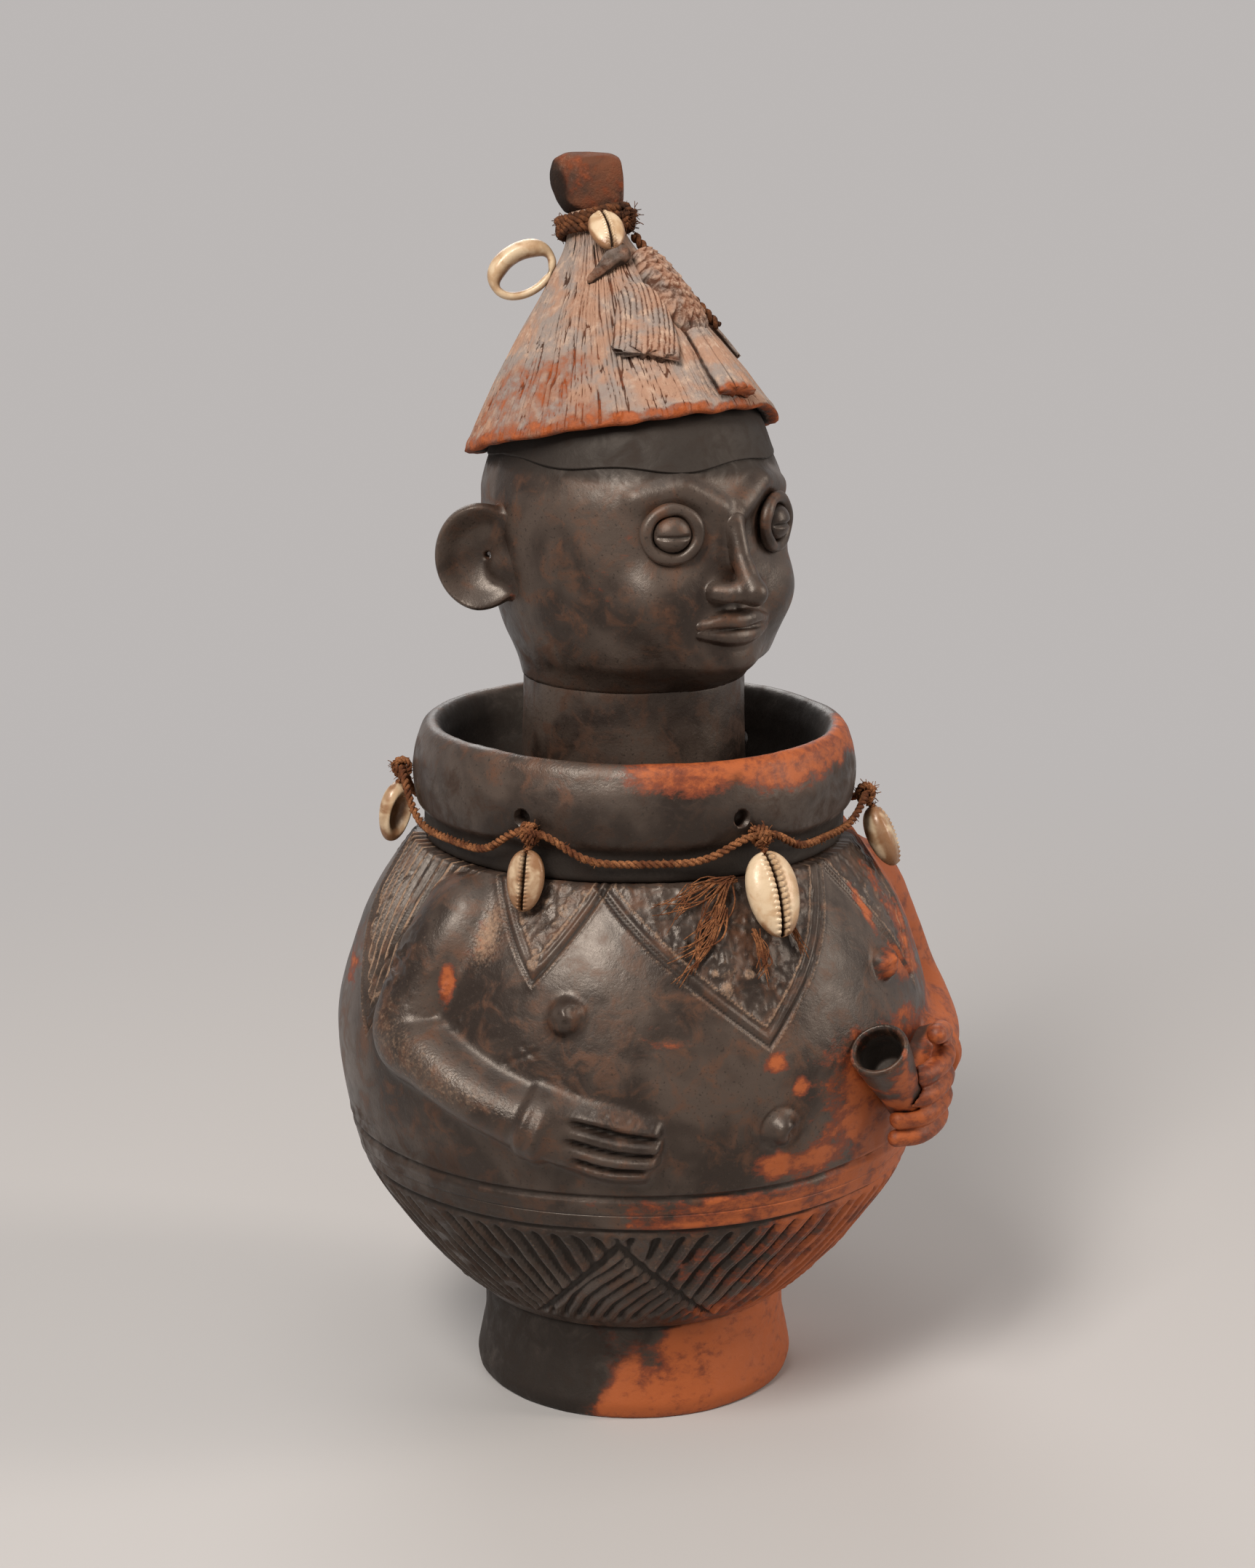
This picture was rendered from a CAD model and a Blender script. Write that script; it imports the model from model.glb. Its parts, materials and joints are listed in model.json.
import itertools
import json
import math

import bpy
import numpy as np
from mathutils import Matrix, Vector

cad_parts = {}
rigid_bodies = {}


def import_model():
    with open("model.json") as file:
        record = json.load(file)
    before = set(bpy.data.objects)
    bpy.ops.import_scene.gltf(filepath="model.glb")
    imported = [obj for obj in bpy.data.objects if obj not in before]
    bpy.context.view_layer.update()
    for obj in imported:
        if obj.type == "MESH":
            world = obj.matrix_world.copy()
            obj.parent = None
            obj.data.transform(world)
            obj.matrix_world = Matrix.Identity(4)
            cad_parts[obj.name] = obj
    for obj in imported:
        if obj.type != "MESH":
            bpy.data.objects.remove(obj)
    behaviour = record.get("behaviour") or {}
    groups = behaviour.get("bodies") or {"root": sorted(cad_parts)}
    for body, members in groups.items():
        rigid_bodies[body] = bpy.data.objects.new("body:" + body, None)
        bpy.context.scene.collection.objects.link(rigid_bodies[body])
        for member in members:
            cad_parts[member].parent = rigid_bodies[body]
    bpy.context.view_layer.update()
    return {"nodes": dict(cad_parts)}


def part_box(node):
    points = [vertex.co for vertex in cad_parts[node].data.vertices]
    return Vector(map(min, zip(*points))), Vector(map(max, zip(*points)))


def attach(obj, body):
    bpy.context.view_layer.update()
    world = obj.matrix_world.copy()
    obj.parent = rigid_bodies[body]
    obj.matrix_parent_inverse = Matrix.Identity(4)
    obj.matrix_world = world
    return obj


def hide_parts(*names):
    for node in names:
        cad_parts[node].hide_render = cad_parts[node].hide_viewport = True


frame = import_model()

MM = 0.001
DEGREE = math.pi / 180
TURN = 2 * math.pi

# The pot stands about its own axis, which is the middle of the foot
foot_low, foot_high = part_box("foot_ring")
AXIS = np.array([(foot_low.x + foot_high.x) / 2, (foot_low.y + foot_high.y) / 2, 0]) / MM

# Pot, in millimetres about that axis
FOOT_HEIGHT = 27
FOOT_BASE_RADIUS = 44.3
FOOT_TOP_RADIUS = 41.5
FOOT_RECESS_RADIUS = 34
POT_WALL = 6
FLOOR_HEIGHT = 35
BAND_HEIGHT = 72
BAND_LINE_SPREAD = 5.2
BAND_INNER_RADIUS = 74
SHOULDER_HEIGHT = 155
MOUTH_RADIUS = 40
POT_STATIONS = [(27, 43.8), (47, 62.8), (72, 77.4), (102, 81.7), (130, 75.2), (155, 60)]

# Collar, cord and shells
THROAT_RADIUS = 57.2
COLLAR_SEAT_RADIUS = 48
COLLAR_LIP = 164.5
COLLAR_RADIUS = 60.3
COLLAR_TOP = 186.6
CORD_HOLE_RADIUS = 2.4
CORD_HOLE_HEIGHT = 171.5
CORD_HOLE_OFFSET = -3.5
CORD_LOW_RADIUS = 59.1
CORD_KNOT_RADIUS = 63.12
CORD_LOW_HEIGHT = 160.8
KNOT_HALF_ANGLE = 1.74
SHELL_DROP = 4.22
SHELLS = [
    {"azimuth": -111, "knot": 173.6, "length": 16.6, "turn": -48},
    {"azimuth": -51, "knot": 168.6, "length": 16, "turn": 8},
    {"azimuth": 5, "knot": 167.2, "length": 22.6, "turn": -8},
    {"azimuth": 59, "knot": 166.6, "length": 17.6, "turn": 12},
    {"azimuth": 120, "knot": 167.4, "length": 19, "turn": 25},
    {"azimuth": 180, "knot": 168.2, "length": 20, "turn": -20},
]

# Head and hat
HEAD_TURN = 12 * DEGREE
NECK_RADIUS = 30
NECK_TOP = 199
CHIN_HEIGHT = 205
HEAD_HEIGHT = 81
HAIR_LINE = 259
HEAD_LEVELS = [
    (-0.075, 30, 30, 0), (-0.02, 31.4, 32.6, 1.2), (0.03, 33.2, 37, 3), (0.12, 35.9, 40, 2.6),
    (0.25, 38.5, 41.4, 1.2), (0.4, 40.3, 42, 0), (0.54, 39.9, 41.8, -0.6), (0.67, 36.7, 39, -1.4),
    (0.79, 31.3, 33.6, -2.4), (0.89, 22.3, 24.5, -3.6), (0.96, 11.8, 13.5, -4.4),
]
HAT_SETBACK = 5.6
BRIM_HEIGHT = 263.5
HAT_TILT = 12.4 * DEGREE
BRIM_RADIUS = 42.3
HAT_CONE_HEIGHT = 52
HAT_WALL = 3.6
STEM_RADIUS = 6.6
STEM_TOP = 59.4
KNOB_RADIUS = 10.3
KNOB_HEIGHT = 16.4
KNOB_LEAN = 14 * DEGREE
BIRD_AZIMUTH = 22

# Camera: where the photograph was taken from, about the pot's axis
CAMERA_PLACE = (-372.6, -764.0, 374.8)
CAMERA_PITCH = 13.7
CAMERA_HEADING = -25.88
CAMERA_LENS = 73.5


# Numbers
def smooth(t):
    t = np.clip(t, 0, 1)
    return t * t * (3 - 2 * t)


def ramp(value, start, end):
    """0 at start, 1 at end, eased."""
    return smooth((value - start) / (end - start))


def bell(value, width):
    """1 at zero, fading out to both sides."""
    return np.exp(-((value / width) ** 2))


def through(stations, position):
    """A smooth value through stations, as the solids have it."""
    x = np.array([s[0] for s in stations], float)
    y = np.array([s[1] for s in stations], float)
    chord = np.diff(y) / np.diff(x)
    slope = np.zeros(len(x))
    for i in range(1, len(x) - 1):
        before, after = chord[i - 1], chord[i]
        slope[i] = 0 if before * after <= 0 else 2 * before * after / (before + after)
    slope[0] = 1.5 * chord[0] - 0.5 * slope[1]
    slope[-1] = 1.5 * chord[-1] - 0.5 * slope[-2]
    position = np.asarray(position, float)
    i = np.clip(np.searchsorted(x, position) - 1, 0, len(x) - 2)
    width = x[i + 1] - x[i]
    t = np.clip((position - x[i]) / width, 0, 1)
    rise = smooth(t)
    bend = slope[i] * t * (1 - t) ** 2 - slope[i + 1] * t * t * (1 - t)
    return y[i] + (y[i + 1] - y[i]) * rise + width * bend


NOISE_SIDE = 32
noise_table = np.random.default_rng(11).uniform(-1, 1, (NOISE_SIDE,) * 3)


def noise(points, size, seed):
    """Smooth noise from -1 to 1 at points, with bumps about as wide as size."""
    p = np.asarray(points, float) / size + seed * 5.37
    cell = np.floor(p).astype(int)
    part = smooth(p - cell)
    total = np.zeros(p.shape[:-1])
    for corner in itertools.product((0, 1), repeat=3):
        weight = np.ones(p.shape[:-1])
        for k in range(3):
            weight = weight * (part[..., k] if corner[k] else 1 - part[..., k])
        at = (cell + np.array(corner)) % NOISE_SIDE
        total += weight * noise_table[at[..., 0], at[..., 1], at[..., 2]]
    return total


def fractal(points, size, octaves, seed):
    total = 0
    for octave in range(octaves):
        total = total + noise(points, size / 2**octave, seed + octave) / 2**octave
    return total / 1.5


def blend_max(a, b, reach):
    """The larger of two heights, with a fillet where they meet."""
    near = np.maximum(reach - np.abs(a - b), 0) / reach
    return np.maximum(a, b) + near * near * reach / 4


def blend_min(a, b, reach):
    return -blend_max(-a, -b, reach)


def catmull(stations, count):
    """Points on a smooth curve through rows of stations."""
    rows = np.array(stations, float)
    rows = np.vstack([2 * rows[0] - rows[1], rows, 2 * rows[-1] - rows[-2]])
    spans = len(rows) - 3
    t = np.linspace(0, spans, count)
    i = np.minimum(t.astype(int), spans - 1)
    f = (t - i)[:, None]
    a, b, c, d = rows[i], rows[i + 1], rows[i + 2], rows[i + 3]
    rise, fall = 0.5 * (c - a), 0.5 * (d - b)
    cubic = (2 * b - 2 * c + rise + fall) * f**3
    square = (3 * c - 3 * b - 2 * rise - fall) * f**2
    return cubic + square + rise * f + b


def azimuths_round(count):
    return np.linspace(-180, 180, count, endpoint=False)


def angles_round(count):
    return np.linspace(0, TURN, count, endpoint=False)


def at_angle(angle, radius, height):
    """Points about the upright axis, at angles from the front in radians."""
    return np.stack([radius * np.sin(angle), -radius * np.cos(angle), height], -1)


def unit(vectors):
    return vectors / np.maximum(np.linalg.norm(vectors, axis=-1, keepdims=True), 1e-9)


# Round surfaces, as the solids have them
def on_round(radius_at):
    def place(azimuth, height, lift=0):
        """A point at an azimuth in degrees and a height, lifted along the surface's normal."""
        azimuth, height = np.broadcast_arrays(np.asarray(azimuth, float) * DEGREE, height)
        slope = radius_at(height + 0.5) - radius_at(height - 0.5)
        tilt = np.hypot(1, slope)
        radius = radius_at(height) + lift / tilt
        z = height - lift * slope / tilt
        return at_angle(azimuth, radius, z)

    return place


def pot_radius(height):
    return through(POT_STATIONS, height)


def hat_radius(height):
    stations = [
        (0, BRIM_RADIUS), (5, BRIM_RADIUS - 2.8), (HAT_CONE_HEIGHT * 0.25, BRIM_RADIUS * 0.815),
        (HAT_CONE_HEIGHT * 0.55, BRIM_RADIUS * 0.56), (HAT_CONE_HEIGHT * 0.8, BRIM_RADIUS * 0.335),
        (HAT_CONE_HEIGHT, STEM_RADIUS + 1.2), (STEM_TOP, STEM_RADIUS),
    ]
    return through(stations, height)


pot_surface = on_round(pot_radius)
hat_surface = on_round(hat_radius)


def turn_x(angle):
    c, s = math.cos(angle), math.sin(angle)
    return np.array([[1, 0, 0], [0, c, -s], [0, s, c]])


def turn_y(angle):
    c, s = math.cos(angle), math.sin(angle)
    return np.array([[c, 0, s], [0, 1, 0], [-s, 0, c]])


def turn_z(angle):
    c, s = math.cos(angle), math.sin(angle)
    return np.array([[c, -s, 0], [s, c, 0], [0, 0, 1]])


def in_pot(points):
    return points + AXIS


def in_head(points):
    return in_pot(points @ turn_z(HEAD_TURN).T)


def in_hat(points):
    tilted = points @ turn_x(-HAT_TILT).T + np.array([0, HAT_SETBACK, BRIM_HEIGHT])
    return in_head(tilted)


def head_value(column):
    stations = [(CHIN_HEIGHT + level[0] * HEAD_HEIGHT, level[column]) for level in HEAD_LEVELS]
    return lambda height: through(stations, height)


head_width, head_depth, head_forward = (head_value(column) for column in (1, 2, 3))


def on_head(azimuth, height, lift):
    """A point on the head at an azimuth in degrees from its front."""
    angle, height = np.broadcast_arrays(np.asarray(azimuth, float) * DEGREE, height)
    a, b, forward = head_width(height), head_depth(height), head_forward(height)
    out = unit(np.stack([np.sin(angle) / a, -np.cos(angle) / b], -1))
    x = a * np.sin(angle) + lift * out[..., 0]
    y = -forward - b * np.cos(angle) + lift * out[..., 1]
    return np.stack([x, y, height * np.ones_like(x)], -1)


# Meshes
def build_mesh(name, points, faces, paint=None):
    """A smooth mesh from points in millimetres and faces of three or four corners, turned outwards."""
    volume = 0
    for group in faces:
        for k in range(1, group.shape[1] - 1):
            a, b, c = points[group[:, 0]], points[group[:, k]], points[group[:, k + 1]]
            volume += np.einsum("ij,ij->i", a, np.cross(b, c)).sum()
    if volume < 0:
        faces = [group[:, ::-1] for group in faces]
    mesh = bpy.data.meshes.new(name)
    mesh.vertices.add(len(points))
    mesh.vertices.foreach_set("co", (points * MM).astype(np.float32).ravel())
    loops = np.concatenate([group.ravel() for group in faces])
    sizes = np.concatenate([np.full(len(group), group.shape[1]) for group in faces])
    starts = np.concatenate([[0], np.cumsum(sizes)[:-1]])
    mesh.loops.add(len(loops))
    mesh.loops.foreach_set("vertex_index", loops.astype(np.int32))
    mesh.polygons.add(len(sizes))
    mesh.polygons.foreach_set("loop_start", starts.astype(np.int32))
    mesh.update(calc_edges=True)
    mesh.validate()
    mesh.shade_smooth()
    for key, value in (paint or {}).items():
        attribute = mesh.attributes.new(key, "FLOAT", "POINT")
        attribute.data.foreach_set("value", np.clip(value, 0, 1).astype(np.float32).ravel())
    return mesh


def grid_faces(rows, columns, wrap_rows=False, wrap_columns=True):
    index = np.arange(rows * columns).reshape(rows, columns)
    if wrap_rows:
        index = np.vstack([index, index[:1]])
    if wrap_columns:
        index = np.hstack([index, index[:, :1]])
    corners = (index[:-1, :-1], index[:-1, 1:], index[1:, 1:], index[1:, :-1])
    return np.stack([corner.ravel() for corner in corners], -1)


def fan_faces(ring, tip):
    following = np.roll(ring, -1)
    return np.stack([ring, following, np.full(len(ring), tip)], -1)


def skin_mesh(name, rows, paint=None, wrap_rows=False):
    """A closed skin over rows of ring points. Its two ends close to a tip in their middle."""
    count, columns = rows.shape[:2]
    points = rows.reshape(-1, 3)
    faces = [grid_faces(count, columns, wrap_rows)]
    values = {key: value.reshape(-1) for key, value in (paint or {}).items()}
    if not wrap_rows:
        ends = np.array([rows[0].mean(0), rows[-1].mean(0)])
        first, last = np.arange(columns), np.arange(columns) + (count - 1) * columns
        faces.append(fan_faces(first[::-1], len(points)))
        faces.append(fan_faces(last, len(points) + 1))
        points = np.vstack([points, ends])
        for key, value in values.items():
            edge = [value[first].mean(), value[last].mean()]
            values[key] = np.concatenate([value, edge])
    return build_mesh(name, points, faces, values)


def patch_mesh(name, upper, lower, keep, paint):
    """A closed slab between two grids of points, over the cells whose corners are all kept."""
    rows, columns = keep.shape
    cells = grid_faces(rows, columns, wrap_columns=False)
    cells = cells[keep.ravel()[cells].all(1)]
    edges = np.concatenate([cells[:, [k, (k + 1) % 4]] for k in range(4)])
    key = edges[:, 0] * (rows * columns) + edges[:, 1]
    back = edges[:, 1] * (rows * columns) + edges[:, 0]
    rim = edges[~np.isin(key, back)]
    used = np.unique(cells)
    number = np.full(rows * columns, -1)
    number[used] = np.arange(len(used))
    count = len(used)
    top, rim = number[cells], number[rim]
    walls = np.stack([rim[:, 1], rim[:, 0], rim[:, 0] + count, rim[:, 1] + count], -1)
    points = np.vstack([upper.reshape(-1, 3)[used], lower.reshape(-1, 3)[used]])
    values = {k: np.tile(v.ravel()[used], 2) for k, v in paint.items()}
    mesh = build_mesh(name, points, [top, top[:, ::-1] + count, walls], values)
    across, along = np.gradient(upper, axis=1), np.gradient(upper, axis=0)
    outward = unit(np.cross(across, along)).reshape(-1, 3)[used]
    mesh.normals_split_custom_set_from_vertices(np.vstack([outward, -outward]))
    return mesh


def sample(field, places):
    """The value of a sampled field at places in its own cells."""
    low = np.clip(np.floor(places).astype(int), 0, np.array(field.shape) - 2)
    part = places - low
    total = 0
    for corner in itertools.product((0, 1), repeat=3):
        weight = np.prod(np.where(corner, part, 1 - part), axis=-1)
        at = low + np.array(corner)
        total = total + weight * field[at[:, 0], at[:, 1], at[:, 2]]
    return total


def skin_of(field, low, step):
    """Points and faces on the zero level of a sampled field, which is negative inside."""
    inside = field < 0
    shape = np.array(field.shape) - 1
    total = np.zeros(tuple(shape) + (4,), np.float32)
    crossings = []
    for axis in range(3):
        ahead = np.zeros(3, int)
        ahead[axis] = 1
        first = tuple(slice(0, -1) if k == axis else slice(None) for k in range(3))
        second = tuple(slice(1, None) if k == axis else slice(None) for k in range(3))
        at = np.argwhere(inside[first] != inside[second])
        across = [k for k in range(3) if k != axis]
        fits = np.all((at[:, across] > 0) & (at[:, across] < shape[across]), 1)
        at = at[fits]
        a, b = field[tuple(at.T)], field[tuple((at + ahead).T)]
        spot = at.astype(np.float32)
        spot[:, axis] += a / (a - b)
        cells = []
        for back in ((0, 0), (1, 0), (1, 1), (0, 1)):
            cell = at.copy()
            cell[:, across[0]] -= back[0]
            cell[:, across[1]] -= back[1]
            cells.append(cell)
            np.add.at(total, tuple(cell.T), np.column_stack([spot, np.ones(len(spot))]))
        crossings.append((cells, a < 0, axis))
    active = total[..., 3] > 0
    number = np.full(tuple(shape), -1)
    number[active] = np.arange(active.sum())
    spots = total[active]
    spots = (spots[:, :3] / spots[:, 3:]).astype(float)
    gradient = np.stack(np.gradient(field.astype(float)), 0)
    for _ in range(2):
        value = sample(field, spots)
        slope = np.stack([sample(g, spots) for g in gradient], -1)
        length = np.maximum((slope**2).sum(-1), 0.04)
        shift = np.clip(value / length, -0.6, 0.6)
        spots = spots - 0.8 * shift[:, None] * slope
    quads = []
    for cells, outwards, axis in crossings:
        quad = np.stack([number[tuple(cell.T)] for cell in cells], -1)
        flip = outwards if axis == 1 else ~outwards
        quads.append(np.where(flip[:, None], quad[:, ::-1], quad))
    return spots * step + np.array(low), np.vstack(quads)


def field_grid(low, high, step):
    axes = [np.arange(a, b + step, step) for a, b in zip(low, high)]
    return np.stack(np.meshgrid(*axes, indexing="ij"), -1)


# Solid forms, as distances that are negative inside
def rod(points, a, b, start, end):
    a, b = np.asarray(a, float), np.asarray(b, float)
    along = b - a
    t = np.clip(((points - a) @ along) / max(along @ along, 1e-9), 0, 1)
    gap = np.linalg.norm(points - a - t[..., None] * along, axis=-1)
    return gap - (start + (end - start) * t)


def chain(points, centres, radii):
    """A bent rod through centres."""
    total = np.full(points.shape[:-1], 1e3)
    for k in range(len(centres) - 1):
        total = np.minimum(total, rod(points, centres[k], centres[k + 1], radii[k], radii[k + 1]))
    return total


def egg(points, centre, radii):
    local = points - np.asarray(centre, float)
    radii = np.asarray(radii, float)
    near = np.linalg.norm(local / radii, axis=-1)
    steep = np.linalg.norm(local / radii**2, axis=-1)
    return near * (near - 1) / np.maximum(steep, 1e-9)


def ring(points, centre, normal, radius, tube):
    local = points - np.asarray(centre, float)
    normal = unit(np.asarray(normal, float))
    height = local @ normal
    flat = np.linalg.norm(local - height[..., None] * normal, axis=-1)
    return np.hypot(flat - radius, height) - tube


# Materials
SHEEN_TINT = (1.0, 0.88, 0.78, 1)
EASED = {"interpolation_type": "SMOOTHSTEP"}
COLOURS = {"data_type": "RGBA"}


def feed(tree, socket, value):
    """Links a socket to another one, or gives it a plain value. A colour of three numbers is opaque."""
    if isinstance(value, bpy.types.NodeSocket):
        tree.links.new(value, socket)
    elif isinstance(value, tuple) and len(value) == 3 and len(socket.default_value) == 4:
        socket.default_value = (*value, 1)
    else:
        socket.default_value = value


def add_node(tree, kind, settings=None, **feeds):
    """A node with its settings. Its inputs are fed by name, or by number as i0, i1 and so on."""
    made = tree.nodes.new(kind)
    for key, value in (settings or {}).items():
        setattr(made, key, value)
    for key, value in feeds.items():
        socket = made.inputs[int(key[1:])] if key[0] == "i" else made.inputs[key.replace("_", " ")]
        feed(tree, socket, value)
    return made


class Finish:
    """A procedural material, built up from few kinds of node."""

    def __init__(self, name, roughness, specular=0.5):
        self.material = bpy.data.materials.new(name)
        self.material.use_nodes = True
        self.tree = self.material.node_tree
        self.shader = self.tree.nodes["Principled BSDF"]
        self.set("Roughness", roughness)
        self.set("Specular IOR Level", specular)
        self.set("Specular Tint", SHEEN_TINT)
        self.place = add_node(self.tree, "ShaderNodeTexCoord").outputs["Object"]

    def set(self, key, value):
        feed(self.tree, self.shader.inputs[key], value)

    def grain(self, size_mm, detail, rough, warp=0.0, stretch=None):
        """Noise whose bumps are about size_mm wide."""
        place = self.place
        if stretch:
            place = add_node(self.tree, "ShaderNodeMapping", Scale=stretch, Vector=place).outputs[0]
        noise_node = add_node(
            self.tree,
            "ShaderNodeTexNoise",
            Vector=place,
            Scale=1 / (size_mm * MM),
            Detail=detail,
            Roughness=rough,
            Distortion=warp,
        )
        return noise_node.outputs[0]

    def painted(self, name):
        return add_node(self.tree, "ShaderNodeAttribute", {"attribute_name": name}).outputs["Fac"]

    def remap(self, value, start, end, low=0.0, high=1.0):
        limits = {"From_Min": start, "From_Max": end, "To_Min": low, "To_Max": high}
        return add_node(self.tree, "ShaderNodeMapRange", EASED, Value=value, **limits).outputs[0]

    def sum(self, a, b, kind="ADD"):
        return add_node(self.tree, "ShaderNodeMath", {"operation": kind}, i0=a, i1=b).outputs[0]

    def swing(self, value, reach):
        """Noise from 0 to 1 turned into a swing about zero."""
        return self.sum(self.sum(value, 0.5, "SUBTRACT"), reach, "MULTIPLY")

    def mix(self, share, a, b):
        return add_node(self.tree, "ShaderNodeMix", COLOURS, i0=share, i6=a, i7=b).outputs[2]

    def colour(self, value):
        self.set("Base Color", value)

    def gloss(self, value):
        self.set("Roughness", value)

    def bump(self, height, depth_mm):
        node = add_node(self.tree, "ShaderNodeBump", Strength=1, Distance=depth_mm * MM, Height=height)
        self.set("Normal", node.outputs[0])


SMOKE_DARK = (0.015, 0.0085, 0.006)
SMOKE_GREY = (0.064, 0.045, 0.035)
SMOKE_BROWN = (0.095, 0.038, 0.018)
CLAY_ORANGE = (0.38, 0.088, 0.020)
CLAY_RED = (0.155, 0.029, 0.009)
CLAY_SAND = (0.36, 0.225, 0.145)
SOOT = (0.0065, 0.0042, 0.0032)


def smoked_finish(name):
    """Burnished, smoked clay, bared to orange, with dust in its cuts and soot in its hollows."""
    f = Finish(name, 0.5)
    broad = f.grain(26, 3, 0.6, 0.4)
    patchy = f.grain(7, 4, 0.65, 0.6)
    ragged = f.grain(3.4, 5, 0.7, 0.3, (1, 1, 1.7))
    fine = f.grain(1.1, 4, 0.7)
    body = f.mix(f.remap(broad, 0.38, 0.64), SMOKE_DARK, SMOKE_GREY)
    body = f.mix(f.remap(patchy, 0.46, 0.72, 0, 0.75), body, SMOKE_BROWN)
    body = f.mix(f.remap(fine, 0.56, 0.74, 0, 0.5), body, SMOKE_GREY)
    pits = f.grain(0.8, 2, 0.5)
    body = f.mix(f.remap(pits, 0.6, 0.72, 0, 0.6), body, SOOT)
    bare_noise = f.swing(ragged, 1.3)
    bare_amount = f.sum(f.painted("bare"), bare_noise)
    bare = f.remap(bare_amount, 0.3, 0.66, 0, 0.94)
    lit = f.sum(bare_amount, f.sum(patchy, 0.5, "SUBTRACT"))
    clay = f.mix(f.remap(lit, 0.5, 1.0), CLAY_RED, CLAY_ORANGE)
    body = f.mix(bare, body, clay)
    dust_noise = f.swing(fine, 1.1)
    dust = f.remap(f.sum(f.painted("dust"), dust_noise), 0.3, 0.95, 0, 0.85)
    body = f.mix(dust, body, CLAY_SAND)
    soot_noise = f.swing(patchy, 0.9)
    soot = f.remap(f.sum(f.painted("soot"), soot_noise), 0.3, 0.8, 0, 0.92)
    f.colour(f.mix(soot, body, SOOT))
    worn = f.sum(f.remap(patchy, 0.35, 0.7, 0.34, 0.5), f.remap(bare, 0, 1, 0, 0.18))
    f.gloss(f.sum(worn, f.sum(f.remap(dust, 0, 1, 0, 0.26), f.remap(soot, 0, 1, 0, 0.28))))
    grit = f.sum(f.grain(0.75, 2, 0.5), f.sum(f.painted("dust"), 2.6, "MULTIPLY"), "MULTIPLY")
    skin = f.sum(f.sum(fine, 0.5, "MULTIPLY"), f.sum(patchy, 0.7, "MULTIPLY"))
    f.bump(f.sum(skin, grit), 0.17)
    return f.material


def dusty_finish(name):
    """Dusty grey-pink clay of the hat, orange in its cuts and along its edge."""
    f = Finish(name, 0.85, 0.25)
    broad = f.grain(11, 3, 0.6, 0.5)
    patchy = f.grain(3.2, 4, 0.6)
    fine = f.grain(0.8, 3, 0.7)
    ridge = f.mix(f.remap(broad, 0.4, 0.62), (0.37, 0.215, 0.145), (0.28, 0.225, 0.195))
    ridge = f.mix(f.remap(patchy, 0.48, 0.72, 0, 0.85), ridge, (0.50, 0.35, 0.26))
    groove = f.mix(f.remap(broad, 0.36, 0.6), (0.135, 0.048, 0.024), (0.060, 0.030, 0.020))
    tint = f.sum(f.painted("ridge"), f.swing(fine, 0.7))
    body = f.mix(f.remap(tint, 0.25, 0.7), groove, ridge)
    bare_noise = f.swing(patchy, 1.2)
    bare_amount = f.sum(f.painted("bare"), bare_noise)
    bare = f.remap(bare_amount, 0.3, 0.8, 0, 0.9)
    body = f.mix(bare, body, f.mix(f.remap(bare_amount, 0.4, 1.05), CLAY_RED, CLAY_ORANGE))
    soot = f.remap(f.sum(f.painted("soot"), f.sum(patchy, 0.5, "SUBTRACT")), 0.3, 0.75, 0, 0.92)
    f.colour(f.mix(soot, body, SOOT))
    f.bump(f.sum(fine, patchy), 0.3)
    return f.material


def cowrie_finish(name):
    """Glossy cream shell with tan ends and a brown mouth."""
    f = Finish(name, 0.28)
    broad = f.grain(5, 3, 0.5, 0.5)
    fine = f.grain(1.2, 3, 0.6)
    body = f.mix(f.remap(broad, 0.38, 0.62), (0.62, 0.47, 0.31), (0.50, 0.33, 0.19))
    tan = f.sum(f.painted("tan"), f.swing(broad, 1.2))
    body = f.mix(f.remap(tan, 0.25, 0.85, 0, 0.85), body, (0.20, 0.085, 0.034))
    soot = f.sum(f.painted("soot"), f.swing(fine, 0.5))
    f.colour(f.mix(f.remap(soot, 0.3, 0.8), body, (0.035, 0.017, 0.009)))
    f.gloss(f.remap(fine, 0.3, 0.7, 0.22, 0.42))
    f.bump(fine, 0.06)
    return f.material


def fibre_finish(name, dark, light):
    f = Finish(name, 0.9, 0.2)
    broad = f.grain(4, 3, 0.6)
    fine = f.grain(0.5, 3, 0.7)
    body = f.mix(f.remap(broad, 0.36, 0.64), dark, light)
    f.colour(f.mix(f.remap(fine, 0.35, 0.65, 0, 0.7), body, (0.030, 0.013, 0.008)))
    f.bump(fine, 0.15)
    return f.material


smoked_clay = smoked_finish("smoked_clay_burnished")
hat_clay = dusty_finish("hat_clay_dusty")
shell_gloss = cowrie_finish("cowrie_gloss")
plant_fibre = fibre_finish("plant_fibre_red_brown", (0.13, 0.042, 0.017), (0.36, 0.145, 0.058))
dark_fibre = fibre_finish("plant_fibre_dark", (0.040, 0.016, 0.009), (0.19, 0.070, 0.028))


def new_object(name, data):
    made = bpy.data.objects.new(name, data)
    bpy.context.scene.collection.objects.link(made)
    return made


def finish_piece(mesh, material, body, *nodes, slot=None):
    """Puts a mesh in the scene as the piece that stands for some of the part's nodes."""
    mesh.materials.clear()
    mesh.materials.append(material)
    piece = new_object(mesh.name, mesh)
    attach(piece, body)
    if nodes:
        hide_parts(*nodes)
    return piece


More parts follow.
